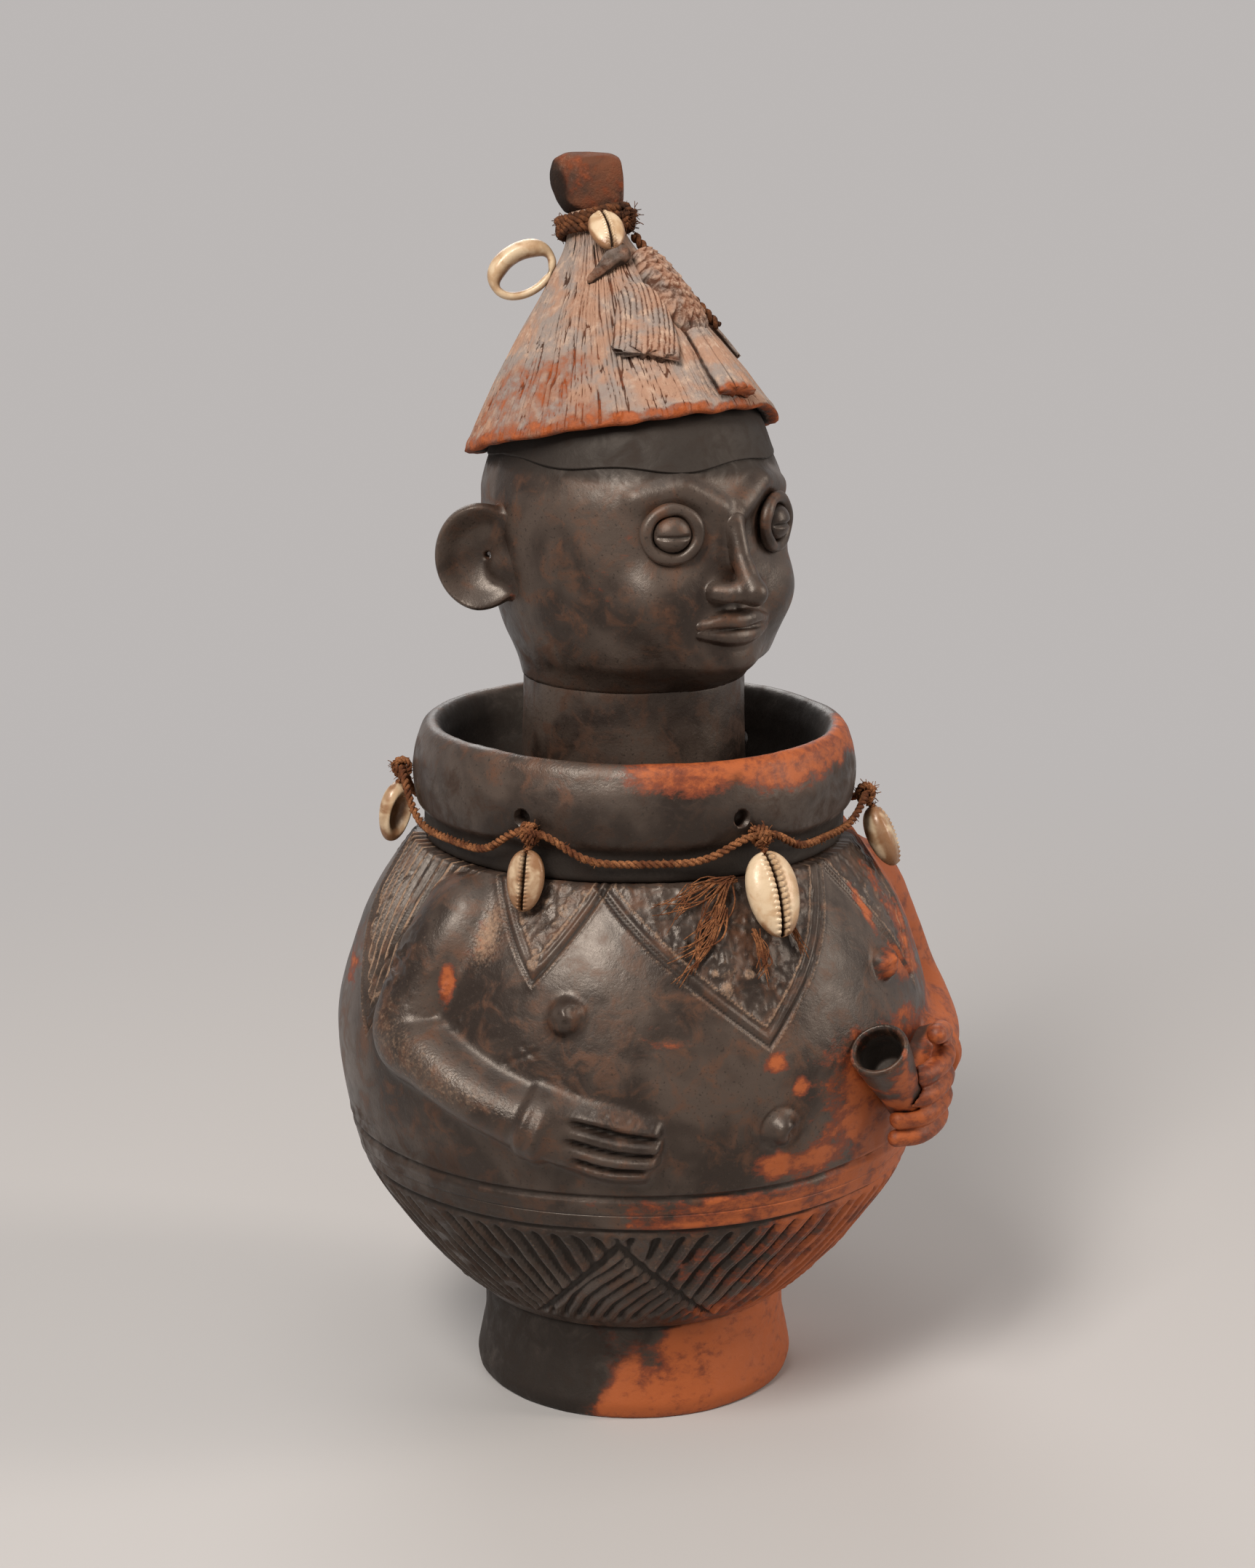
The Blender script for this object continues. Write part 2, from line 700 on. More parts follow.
# Camera and the free end of the hat's cord, which come first
camera_data = bpy.data.cameras.new("photo_camera")
camera_data.lens = CAMERA_LENS
camera_data.sensor_width = 36
camera_data.clip_end = 20
camera = new_object("photo_camera", camera_data)
camera.location = (np.array(CAMERA_PLACE) + AXIS) * MM
camera.rotation_euler = ((90 - CAMERA_PITCH) * DEGREE, 0, CAMERA_HEADING * DEGREE)
bpy.context.scene.camera = camera


# Geometry Nodes: cords and fibres
class Tree:
    """A Geometry Nodes tree with named inputs for its sizes."""

    def __init__(self, name, inputs):
        self.group = bpy.data.node_groups.new(name, "GeometryNodeTree")
        face = self.group.interface
        face.new_socket(name="Geometry", in_out="INPUT", socket_type="NodeSocketGeometry")
        self.ids = {}
        for key, kind, value in inputs:
            socket = face.new_socket(name=key, in_out="INPUT", socket_type=kind)
            if value is not None:
                socket.default_value = value
            self.ids[key] = socket.identifier
        face.new_socket(name="Geometry", in_out="OUTPUT", socket_type="NodeSocketGeometry")
        self.inputs = self.group.nodes.new("NodeGroupInput").outputs
        self.output = self.group.nodes.new("NodeGroupOutput")

    def node(self, kind, settings=None, **feeds):
        return add_node(self.group, kind, settings, **feeds)

    def maths(self, operation, a, b=0.0):
        return self.node("ShaderNodeMath", {"operation": operation}, i0=a, i1=b).outputs[0]

    def vectors(self, operation, a, b):
        other = {"Scale" if operation == "SCALE" else "i1": b}
        return self.node("ShaderNodeVectorMath", {"operation": operation}, i0=a, **other).outputs[0]

    def finish(self, geometry):
        whole = self.node("GeometryNodeRealizeInstances", Geometry=geometry).outputs[0]
        shaded = self.node("GeometryNodeSetShadeSmooth", Geometry=whole).outputs[0]
        coated = self.node("GeometryNodeSetMaterial", Geometry=shaded, Material=self.inputs["Material"])
        feed(self.group, self.output.inputs[0], coated.outputs[0])

    def grow(self, name, source, **values):
        """The plain mesh that the tree makes of a source mesh."""
        holder = new_object(name, source)
        modifier = holder.modifiers.new(name, "NODES")
        modifier.node_group = self.group
        for key, value in values.items():
            modifier[self.ids[key.replace("_", " ")]] = value
        view = bpy.context.evaluated_depsgraph_get()
        mesh = bpy.data.meshes.new_from_object(holder.evaluated_get(view))
        holder.modifiers.remove(modifier)
        bpy.data.objects.remove(holder)
        mesh.name = name
        return mesh


def laid_cord_tree():
    """Two plies twisted round a path."""
    tree = Tree(
        "Laid cord",
        [
            ("Ply Radius", "NodeSocketFloat", 0.0007),
            ("Lay Length", "NodeSocketFloat", 0.005),
            ("Step", "NodeSocketFloat", 0.0005),
            ("Material", "NodeSocketMaterial", None),
        ],
    )
    curve = tree.node("GeometryNodeMeshToCurve", Mesh=tree.inputs["Geometry"]).outputs[0]
    by_length = {"mode": "LENGTH"}
    even = tree.node("GeometryNodeResampleCurve", by_length, Curve=curve, Length=tree.inputs["Step"])
    length = tree.node("GeometryNodeSplineParameter").outputs["Length"]
    normal = tree.node("GeometryNodeInputNormal").outputs[0]
    tangent = tree.node("GeometryNodeInputTangent").outputs[0]
    side = tree.vectors("CROSS_PRODUCT", tangent, normal)
    turns = tree.maths("DIVIDE", length, tree.inputs["Lay Length"])
    thick = tree.inputs["Ply Radius"]
    profile = tree.node("GeometryNodeCurvePrimitiveCircle", Resolution=8, Radius=thick)
    joined = tree.node("GeometryNodeJoinGeometry")
    for ply in range(2):
        angle = tree.maths("MULTIPLY_ADD", turns, TURN)
        angle.node.inputs[2].default_value = ply * math.pi
        across = tree.vectors("SCALE", normal, tree.maths("COSINE", angle))
        around = tree.vectors("SCALE", side, tree.maths("SINE", angle))
        shift = tree.vectors("SCALE", tree.vectors("ADD", across, around), thick)
        moved = tree.node("GeometryNodeSetPosition", Geometry=even.outputs[0], Offset=shift).outputs[0]
        outline = profile.outputs[0]
        tube = tree.node("GeometryNodeCurveToMesh", Curve=moved, Profile_Curve=outline, Fill_Caps=True)
        feed(tree.group, joined.inputs[0], tube.outputs[0])
    tree.finish(joined.outputs[0])
    return tree


def frayed_tree():
    """Short fibres standing out of a cord all along it."""
    tree = Tree(
        "Frayed fibres",
        [
            ("Count", "NodeSocketInt", 100),
            ("Fibre Length", "NodeSocketFloat", 0.004),
            ("Fibre Radius", "NodeSocketFloat", 0.00012),
            ("Seed", "NodeSocketInt", 1),
            ("Material", "NodeSocketMaterial", None),
        ],
    )
    curve = tree.node("GeometryNodeMeshToCurve", Mesh=tree.inputs["Geometry"]).outputs[0]
    spots = tree.node("GeometryNodeCurveToPoints", Curve=curve, Count=tree.inputs["Count"])
    bend = tree.node(
        "GeometryNodeCurveQuadraticBezier",
        Resolution=4,
        Start=(0, 0, 0),
        Middle=(0.12, 0, 0.55),
        End=(0.42, 0.1, 1),
    )
    radius = tree.maths("DIVIDE", tree.inputs["Fibre Radius"], tree.inputs["Fibre Length"])
    profile = tree.node("GeometryNodeCurvePrimitiveCircle", Resolution=4, Radius=radius)
    path, outline, seed = bend.outputs[0], profile.outputs[0], tree.inputs["Seed"]
    strand = tree.node("GeometryNodeCurveToMesh", Curve=path, Profile_Curve=outline, Fill_Caps=True)
    any_turn = {"data_type": "FLOAT_VECTOR"}
    turned = tree.node("FunctionNodeRandomValue", any_turn, Seed=seed, i1=(TURN, TURN, TURN))
    sized = tree.node("FunctionNodeRandomValue", {"data_type": "FLOAT"}, Seed=seed, i2=0.45, i3=1.0)
    scale = tree.maths("MULTIPLY", sized.outputs[1], tree.inputs["Fibre Length"])
    placed = tree.node(
        "GeometryNodeInstanceOnPoints",
        Points=spots.outputs[0],
        Instance=strand.outputs[0],
        Rotation=turned.outputs[0],
        Scale=scale,
    )
    tree.finish(placed.outputs[0])
    return tree


laid_cord = laid_cord_tree()
frayed_fibres = frayed_tree()


def path_mesh(name, points, closed):
    edges = [(i, i + 1) for i in range(len(points) - 1)]
    if closed:
        edges.append((len(points) - 1, 0))
    mesh = bpy.data.meshes.new(name)
    mesh.from_pydata((points * MM).tolist(), edges, [])
    return mesh


def join_meshes(name, meshes):
    """One mesh of several, with their faces kept as they are."""
    points, faces, offset = [], [], 0
    for mesh in meshes:
        co = np.zeros(len(mesh.vertices) * 3, np.float32)
        mesh.vertices.foreach_get("co", co)
        points.append(co.reshape(-1, 3) / MM)
        mesh.calc_loop_triangles()
        tris = np.zeros(len(mesh.loop_triangles) * 3, np.int32)
        mesh.loop_triangles.foreach_get("vertices", tris)
        faces.append(tris.reshape(-1, 3) + offset)
        offset += len(mesh.vertices)
    return build_mesh(name, np.vstack(points), [np.vstack(faces)])


def cord_meshes(path, ply_radius, lay_length, fray, fray_length, seed, closed=False):
    """A laid cord along a path with fibres frayed out of it."""
    source = path_mesh("cord_path", path, closed)
    cord = laid_cord.grow(
        "cord_plies",
        source,
        Ply_Radius=ply_radius * MM,
        Lay_Length=lay_length * MM,
        Step=0.45 * MM,
        Material=plant_fibre,
    )
    fuzz = frayed_fibres.grow(
        "cord_fray",
        source,
        Count=fray,
        Fibre_Length=fray_length * MM,
        Fibre_Radius=0.13 * MM,
        Seed=seed,
        Material=plant_fibre,
    )
    return [cord, fuzz]


def path_length(points, closed=False):
    steps = np.diff(np.vstack([points, points[:1]]) if closed else points, axis=0)
    return np.linalg.norm(steps, axis=1).sum()


HAT_TAIL_STATIONS = [
    (BIRD_AZIMUTH + 30, 0.97 * HAT_CONE_HEIGHT, 2.1),
    (BIRD_AZIMUTH + 31, 0.8 * HAT_CONE_HEIGHT, 2.1),
    (BIRD_AZIMUTH + 28.5, 0.615 * HAT_CONE_HEIGHT, 2.1),
    (BIRD_AZIMUTH + 30, 0.445 * HAT_CONE_HEIGHT, 2.1),
]
tail_rows = catmull(HAT_TAIL_STATIONS, 28)
tail_path = in_hat(hat_surface(tail_rows[:, 0], tail_rows[:, 1], tail_rows[:, 2]))
tail_meshes = cord_meshes(tail_path, 0.72, 4.6, 90, 2.0, seed=5)
tail_cord = finish_piece(
    join_meshes("hat_cord_tail_laid", tail_meshes[:1]), dark_fibre, "hat", "hat_cord_tail"
)
path_length(tail_path) * MM


# Relief of the limbs on the pot
ARM_RISE = 8
UPPER_ARM_HALF_WIDTH = 10.5
FOREARM_HALF_WIDTH = 8.3
BRACELET_RISE = 10.5
BRACELET_REACH = 3.0
BRACELET_HALF_WIDTH = 10
RIGHT_WRIST, RIGHT_WRIST_HEIGHT = -43.4, 97
LEFT_WRIST, LEFT_WRIST_HEIGHT = 49, 98
BELLY_RADIUS = 81.7
HAND_LENGTH = 30
HAND_REACH = HAND_LENGTH / (BELLY_RADIUS * DEGREE)
FINGER_RISE = 4.6


def right_line(degrees):
    return RIGHT_WRIST_HEIGHT - 0.42 * (degrees - RIGHT_WRIST)


def left_line(degrees):
    return LEFT_WRIST_HEIGHT + 0.06 * (degrees - LEFT_WRIST)


RIGHT_ARM = [
    (-69, 154.5, -3.6, UPPER_ARM_HALF_WIDTH + 0.5, ARM_RISE),
    (-71, 142, -2.2, UPPER_ARM_HALF_WIDTH + 2, ARM_RISE),
    (-74, 127, -1.5, UPPER_ARM_HALF_WIDTH + 1.2, ARM_RISE),
    (-74, 114, 0, UPPER_ARM_HALF_WIDTH, ARM_RISE),
    (-66, 109.5, 0.4, FOREARM_HALF_WIDTH + 0.5, ARM_RISE + 0.6),
    (-56, right_line(-56) + 1, 0.4, FOREARM_HALF_WIDTH, ARM_RISE + 0.4),
    (RIGHT_WRIST, RIGHT_WRIST_HEIGHT, 0, FOREARM_HALF_WIDTH, ARM_RISE),
]
LEFT_ARM = [
    (76, 149, -4, UPPER_ARM_HALF_WIDTH, ARM_RISE), (80, 137, -3, UPPER_ARM_HALF_WIDTH, ARM_RISE),
    (83, 120, -1, UPPER_ARM_HALF_WIDTH - 0.5, ARM_RISE),
    (82, 107, 0.4, UPPER_ARM_HALF_WIDTH - 1, ARM_RISE),
    (73, left_line(73) + 1, 0.8, FOREARM_HALF_WIDTH + 0.4, ARM_RISE),
    (63, left_line(63), 0.6, FOREARM_HALF_WIDTH - 0.4, ARM_RISE),
    (LEFT_WRIST, left_line(LEFT_WRIST), 0.3, FOREARM_HALF_WIDTH - 0.8, ARM_RISE),
]


def bracelet_stations(azimuth, line):
    span = BRACELET_REACH / (BELLY_RADIUS * DEGREE)
    return [
        (azimuth + step, line(azimuth + step), 0, BRACELET_HALF_WIDTH, BRACELET_RISE)
        for step in (-span, 0, span)
    ]


def bracelet_height(spots, azimuth, line):
    """A ring rolled round the wrist, with raised edges and a hollow between them."""
    height, travel = limb_field(spots, bracelet_stations(azimuth, line), False)
    away = travel / BRACELET_REACH - 1
    return height - 1.0 * bell(away, 0.42) - 0.9 * np.clip(np.abs(away), 0, 1) ** 6


def open_hand(azimuth, height, spots):
    """The open right hand: a slab with four fingers side by side, and the share of groove in it."""
    start = RIGHT_WRIST + 1
    base = right_line(start)
    t = (azimuth - start) / HAND_REACH
    along = (azimuth - start) * 80 * DEGREE
    centre = base - 6.4 * (1 - (1 - np.clip(t, 0, 1)) ** 1.6) + 1.0
    half = BRACELET_HALF_WIDTH - 1.0 + 1.1 * np.sin(np.clip(t, 0, 1) * math.pi) - 0.6 * np.clip(t, 0, 1)
    v = (height - centre) / half
    v = v + 0.05 * noise(spots, 9, 15)
    finger = np.clip(np.floor(v * 2 + 2), 0, 3).astype(int)
    g = v * 2 - (finger - 1.5)
    tip = np.array([0.90, 0.97, 1.0, 0.99])[finger] * HAND_LENGTH
    rise = FINGER_RISE + 0.3 + 2.4 * (1 - ramp(t, 0.0, 0.34))
    slab = rise * np.clip(1 - v**4, 0, 1) ** 0.75
    slab = slab - np.maximum(np.abs(v) - 1, 0) * half * 1.5
    root = 4.6 + 2.6 * np.abs(v - 0.1)
    deep = ramp(along, root, root + 4.5) * (np.abs(v * 2) < 1.75)
    grooved = deep * bell(0.5 - np.abs(g), 0.18)
    slab = slab + 0.35 * deep * np.cos(g * math.pi)
    left = np.clip((tip - along) / 2.3, -4, 1)
    rounding = np.sqrt(np.clip(1 - (1 - np.maximum(left, 0)) ** 2, 0, 1))
    slab = np.where(slab > 0, slab * rounding, slab) + 4 * np.minimum(left, 0)
    slab = slab - 2.6 * np.maximum(-along, 0)
    return np.maximum(slab, -9), grooved * np.clip(left, 0, 1)


def limb_field(spots, stations, round_start=True):
    """A limb laid on the pot: its height at spots, and how far along it they are."""
    rows = catmull(stations, 48)
    centres = pot_surface(rows[:, 0], rows[:, 1])
    along = np.concatenate([[0], np.cumsum(np.linalg.norm(np.diff(centres, axis=0), axis=1))])
    first = rows[0, 3] * 0.92 if round_start else 0
    keep = (along >= first - 1e-6) & (along <= max(along[-1], first + 0.5) + 1e-6)
    rows, centres, along = rows[keep], centres[keep], along[keep]
    result = np.full(spots.shape[:-1], -9.0)
    travel = np.zeros_like(result)
    reach = rows[:, 3].max() + 9
    low, high = centres.min(0) - reach, centres.max(0) + reach
    near = ((spots > low) & (spots < high)).all(-1)
    local = spots[near]
    best = np.full(len(local), 1e9)
    kept = np.zeros((len(local), 5))
    last_step = len(rows) - 2
    for k in range(len(rows) - 1):
        step = centres[k + 1] - centres[k]
        length = np.linalg.norm(step)
        raw = ((local - centres[k]) @ step) / length**2
        t = np.clip(raw, 0, 1)
        away = local - centres[k] - t[:, None] * step
        gap = np.linalg.norm(away, axis=1)
        over = np.zeros(len(local))
        if k == 0 and not round_start:
            over = np.maximum(-raw, 0) * length
        if k == last_step:
            over = np.maximum(over, np.maximum(raw - 1, 0) * length)
        closer = gap < best
        best = np.where(closer, gap, best)
        values = rows[k] + t[:, None] * (rows[k + 1] - rows[k])
        travelled = along[k] + raw * length if k in (0, last_step) else along[k] + t * length
        fresh = np.column_stack([values[:, 2:5], over, travelled])
        kept = np.where(closer[:, None], fresh, kept)
    lift, half, rise, over, travelled = kept.T
    side = np.sqrt(np.maximum(best**2 - over**2, 0))
    q = side / half
    dome = rise * np.clip(1 - q * q, 0, 1) ** 0.72
    value = lift + dome - np.maximum(q - 1, 0) * half * 1.4 - 2.6 * over
    result[near] = np.maximum(value, -9)
    travel[near] = travelled
    return result, travel


def flat_distance(azimuth, height, a, b):
    """Distance to the line between two places on the pot, in millimetres, positive on its left."""
    scale = 72 * DEGREE
    x, y = (azimuth - a[0]) * scale, height - a[1]
    dx, dy = (b[0] - a[0]) * scale, b[1] - a[1]
    return (y * dx - x * dy) / math.hypot(dx, dy)


PENDANTS = [
    ((-60, 153), (-46.5, 132.5), (-33.5, 153.5), "stipple"),
    ((-33.5, 153.5), (0, 116), (26, 152), "stipple"),
    ((30, 153), (47, 119), (66, 154), "stipple"),
    ((-117, 157), (-87, 110), (-68, 157), "hatch"),
    ((76, 157), (92, 110), (118, 157), "hatch"),
    ((118, 155), (134, 130), (150, 155), "stipple"),
    ((150, 155), (178, 114), (206, 155), "stipple"),
    ((206, 155), (224, 130), (243, 155), "stipple"),
]


def around(azimuth, middle):
    """The azimuth as seen from a middle, from -180 to 180 beyond it."""
    return (azimuth - middle + 180) % 360 - 180 + middle


def pendant_depth(azimuth, height, pendant):
    """Distance to a hanging triangle's edge, negative inside."""
    left, tip, right, _ = pendant
    azimuth = around(azimuth, tip[0])
    return np.maximum(
        -flat_distance(azimuth, height, left, tip), -flat_distance(azimuth, height, tip, right)
    )


def groove(distance, width, depth):
    """A line pressed into the clay, with a low burr on each side."""
    cut = bell(distance, width)
    burr = bell(np.abs(distance) - 2.1 * width, 0.8 * width)
    return -depth * cut + 0.25 * depth * burr


def patch_at(azimuth, height, middle, spread_azimuth, spread_height):
    away = (around(azimuth, middle[0]) - middle[0]) * 75 * DEGREE
    return np.exp(-((away / spread_azimuth) ** 2) - ((height - middle[1]) / spread_height) ** 2)


NAVEL, NAVEL_RADIUS = (2, 94), 4.9


def boss_height(spots, place, radius, rise, pit=0.0):
    centre = pot_surface(place[0], place[1])
    gap = np.linalg.norm(spots - centre, axis=-1)
    if pit:
        dent = np.linalg.norm(spots - pot_surface(place[0] + 1.5, place[1] - 1.1), axis=-1)
        crown = rise * np.exp(-((gap / (radius * 0.72)) ** 4)) * (1 + 0.15 * noise(spots, 3, 17))
        hollow = (rise + pit) * bell(dent, radius * 0.34)
        return crown - 0.7 * hollow - np.maximum(gap - radius, 0)
    q = gap / radius * (1 + 0.1 * noise(spots, 3.2, 17))
    dome = rise * np.clip(1 - q**2, 0, 1) ** 0.7
    return dome * (1 + 0.22 * noise(spots, 1.8, 18)) - np.maximum(q - 1, 0) * radius


def softened(field, passes):
    """A field over the pot's grid, blurred by its neighbours. It joins up with itself round the pot."""
    for _ in range(passes):
        field = 0.5 * field + 0.25 * (np.roll(field, 1, 1) + np.roll(field, -1, 1))
        rows = np.vstack([field[:1], field, field[-1:]])
        field = 0.5 * field + 0.25 * (rows[:-2] + rows[2:])
    return field


# Clods of clay left on the belly, with their size, and scratches across it
CLODS = [((-7.4, 131.1), 2.2), ((-2.3, 133.9), 1.6), ((-9.5, 135), 1.3), ((-46.9, 136.7), 1.8)]
SCRATCHES = [((-47, 117), (-36, 106)), ((-50, 112), (-44, 116)), ((38, 133), (47, 120))]


def belly_relief(azimuth, height):
    """Height of everything modelled on the belly, and the share that each limb has in it."""
    spots = pot_surface(azimuth, height)
    wide = around(azimuth, 0)
    raw = {
        "right_arm": limb_field(spots, RIGHT_ARM)[0],
        "left_arm": limb_field(spots, LEFT_ARM)[0],
        "right_bracelet": bracelet_height(spots, RIGHT_WRIST, right_line),
        "left_bracelet": bracelet_height(spots, LEFT_WRIST, left_line),
    }
    raw["right_hand"], between = open_hand(wide, height, spots)
    raw["right_breast_boss"] = boss_height(spots, (-39, 125), 4.7, 4.3)
    raw["left_breast_boss"] = boss_height(spots, (34, 128), 4.7, 4.3)
    raw["navel_boss"] = boss_height(spots, NAVEL, NAVEL_RADIUS, 3.6, pit=1.2)
    ground = 0.35 * fractal(spots, 22, 2, 1) + 0.07 * fractal(spots, 4, 2, 4)
    dust = np.zeros(spots.shape[:-1])
    soot = np.zeros(spots.shape[:-1])
    limbs = np.maximum(np.maximum(raw["right_arm"], raw["left_arm"]), raw["right_hand"])
    clear = 1 - ramp(np.maximum(limbs, raw["navel_boss"]), -0.6, 1.2)
    stipple = noise(spots, 1.25, 3)
    pits = noise(spots, 2.3, 9)
    for pendant in PENDANTS:
        depth = pendant_depth(azimuth, height, pendant)
        edge = groove(depth, 0.55, 0.75) + groove(depth + 2.4, 0.5, 0.55)
        inside = ramp(-depth, 2.2, 3.4)
        if pendant[3] == "stipple":
            fill = inside * (-0.4 + 0.42 * stipple + 0.25 * pits)
            pale = 0.3 if pendant[1][0] < -20 else 0.06
            dust_fill = inside * (pale + 0.4 * ramp(stipple, 0.05, 0.8))
        else:
            tip = pendant[1]
            lean = flat_distance(around(azimuth, tip[0]), height, tip, pendant[2])
            lean = lean + 1.3 * noise(spots, 22, 6)
            spread = (around(azimuth, tip[0]) - tip[0]) / np.maximum(height - tip[1] + 34, 8)
            fan = spread * 34 + 0.7 * noise(spots, 24, 7)
            lines = np.abs((fan / 1.75) % 1 - 0.5) * 3.4
            crossing = np.abs((lean / 17) % 1 - 0.5) * 17
            fill = inside * (groove(lines, 0.7, 1.3) + groove(crossing, 0.45, 0.35))
            worn = 0.5 + 0.5 * ramp(noise(spots, 9, 12), -0.6, 0.2)
            dust_fill = inside * worn * 0.85 * ramp(np.minimum(lines, crossing + 0.9), 0.95, 1.45)
            soot = np.maximum(soot, clear * inside * 0.7 * bell(lines, 0.6))
        close = ramp(-depth, -3, 0)
        ground = ground + clear * (edge * close + fill)
        dust = np.maximum(dust, clear * close * 0.7 * bell(np.abs(depth + 1.2) - 2.3, 0.55))
        dust = np.maximum(dust, clear * dust_fill)
        soot = np.maximum(soot, clear * close * 0.8 * bell(depth, 0.5))
    wave = height - (BAND_HEIGHT + BAND_LINE_SPREAD) - 0.7 * noise(spots, 30, 2)
    ground = ground + groove(wave, 0.8, 1.0) * clear
    soot = np.maximum(soot, 0.8 * bell(wave, 0.7) * clear)
    limb_top = raw["right_arm"]
    for key in ("left_arm", "right_hand", "right_bracelet", "left_bracelet"):
        limb_top = blend_max(limb_top, raw[key], 0.6 if "bracelet" in key else 1.6)
    swell = softened(blend_max(0 * limb_top, limb_top, 3.4), 3)
    total = ground + swell + 0.12 * fractal(spots, 9, 3, 8) * ramp(limb_top, 0, 2) - 3.0 * between
    for key in ("right_breast_boss", "left_breast_boss"):
        total = blend_max(total, raw[key], 1.8)
    navel = raw["navel_boss"]
    gap = np.linalg.norm(spots - pot_surface(*NAVEL), axis=-1)
    total = total + (navel - total) * ramp(-gap, -NAVEL_RADIUS - 1.9, -NAVEL_RADIUS)
    scab = patch_at(azimuth, height, (-77, 131), 5.5, 7)
    rough = 1.2 * scab * ramp(np.abs(noise(spots, 3.4, 13)), 0.05, 0.4)
    total = total - rough + 0.7 * scab * noise(spots, 1.7, 14)
    crumbs = patch_at(azimuth, height, (-63, 124), 9, 7)
    total = total + 0.5 * crumbs * ramp(noise(spots, 2.0, 16), 0.1, 0.6)
    dust = np.maximum(dust, 0.75 * patch_at(azimuth, height, (-59, 142), 5, 9) * clear)
    dust = np.maximum(dust, 0.4 * crumbs * ramp(noise(spots, 2.0, 16), 0.1, 0.6))
    for place, size in CLODS:
        clod = patch_at(azimuth, height, place, size, size)
        total = total + 0.9 * clod * (0.7 + 0.7 * pits)
        dust = np.maximum(dust, 0.6 * ramp(clod, 0.2, 0.6))
    for start, end in SCRATCHES:
        away = rod(spots, pot_surface(*start), pot_surface(*end), 0, 0)
        total = total + groove(away + 0.3 * stipple, 0.5, 0.28)
    return {
        "spots": spots,
        "height": total,
        "raw": raw,
        "dust": dust,
        "soot": np.maximum(soot, 0.8 * between),
    }


def limb_share(relief, name):
    """How far inside its own outline each spot of a limb lies, from 0 to 1."""
    raw = relief["raw"]
    share = ramp(raw[name], 0.9, 1.7)
    if name in ("right_arm", "left_arm", "right_hand"):
        side = "left" if name == "left_arm" else "right"
        share = share * (1 - ramp(raw[side + "_bracelet"], 2.0, 3.2))
    if name == "right_hand":
        share = share * (1 - ramp(raw["right_arm"], 2.0, 3.2))
    return share


LIMBS = {
    "right_arm": (-100, -38, 84, 156),
    "left_arm": (44, 104, 84, 156),
    "right_bracelet": (-52, -35, 82, 114),
    "left_bracelet": (40, 58, 82, 114),
    "right_hand": (-48, -14, 70, 114),
    "right_breast_boss": (-45, -33, 118, 132),
    "left_breast_boss": (28, 40, 121, 135),
    "navel_boss": (-4, 8, 87, 101),
}


# Where the smoke has come off the pot: azimuth and height, half width, half height, strength
BARE_PATCHES = [
    ((1, 112), 3.4, 3.0, 1.1), ((6, 105), 2.6, 3.0, 1.0), ((1, 84), 6.5, 4.5, 1.1),
    ((12, 83), 13, 5, 0.95), ((24, 101), 8, 9, 0.6), ((34, 128), 4.5, 4.5, 0.95),
    ((-65, 129), 1.8, 4.6, 1.5), ((-60, 139), 4, 5, 0.55), ((50, 132), 9, 18, 0.75),
    ((41, 127), 6, 6, 0.9), ((36, 143), 2.2, 8, 1.0), ((20, 92), 8, 8, 0.7),
    ((-20, 120), 7, 5, 0.25), ((200, 95), 20, 12, 0.7), ((255, 120), 12, 10, 0.45),
]


def pot_paint(azimuth, height, relief, lift):
    """Bare clay, dust and soot over the pot, from its place and its relief."""
    spots = relief["spots"]
    wide = around(azimuth, 0)
    cloud = fractal(spots, 24, 3, 21)
    speck = noise(spots, 6, 23)
    behind = ramp(np.abs(wide) + 10 * cloud, 130, 168)
    side = ramp(wide + 15 * cloud, -4, 26) * (1 - ramp(wide, 150, 178))
    low = ramp(-(height + 9 * cloud), -124, -98)
    bowl_side = ramp(wide + 12 * cloud, -24, 12) * (1 - ramp(wide, 150, 178))
    arm_side = ramp(wide + 4 * cloud, 52, 66) * (1 - ramp(wide, 118, 140))
    bare = np.maximum(0.92 * side * low, 0.62 * bowl_side * ramp(-height, -71, -68))
    bare = np.maximum(bare, 0.95 * arm_side * ramp(height, 86, 92))
    line_glow = ramp(wide + 8 * cloud, -42, -8) * ramp(-np.abs(height - 71.5), -7, -3.5)
    bare = np.maximum(bare, 0.8 * (1 - behind) * line_glow)
    for place, size_a, size_b, power in BARE_PATCHES:
        bare = np.maximum(bare, power * patch_at(azimuth, height, place, size_a, size_b))
    smear = fractal(spots * np.array([1, 1, 2.6]), 10, 3, 25)
    bare = bare + (0.42 * smear + 0.16 * speck) * ramp(bare, 0.02, 0.3)
    dust = relief["dust"]
    top = ramp(lift, 3.5, 8) * ramp(height, 95, 105)
    dust = np.maximum(dust, 0.38 * top * (1 - side))
    dust = np.maximum(dust, 0.42 * ramp(wide, 66, 76) * (1 - ramp(wide, 100, 112)) * ramp(lift, 3, 8))
    shade = ramp(-lift, 0.35, 1.1)
    soot = np.maximum(relief["soot"], 0.7 * shade) * (1 - 0.8 * ramp(dust, 0.2, 0.6))
    smoked_side = ramp(-(wide + 12 * cloud), 20, 60) * (1 - behind)
    soot = np.maximum(soot, 0.5 * smoked_side * ramp(-height, -96, -80))
    return {"bare": bare, "dust": dust, "soot": soot * (1 - 0.3 * side)}


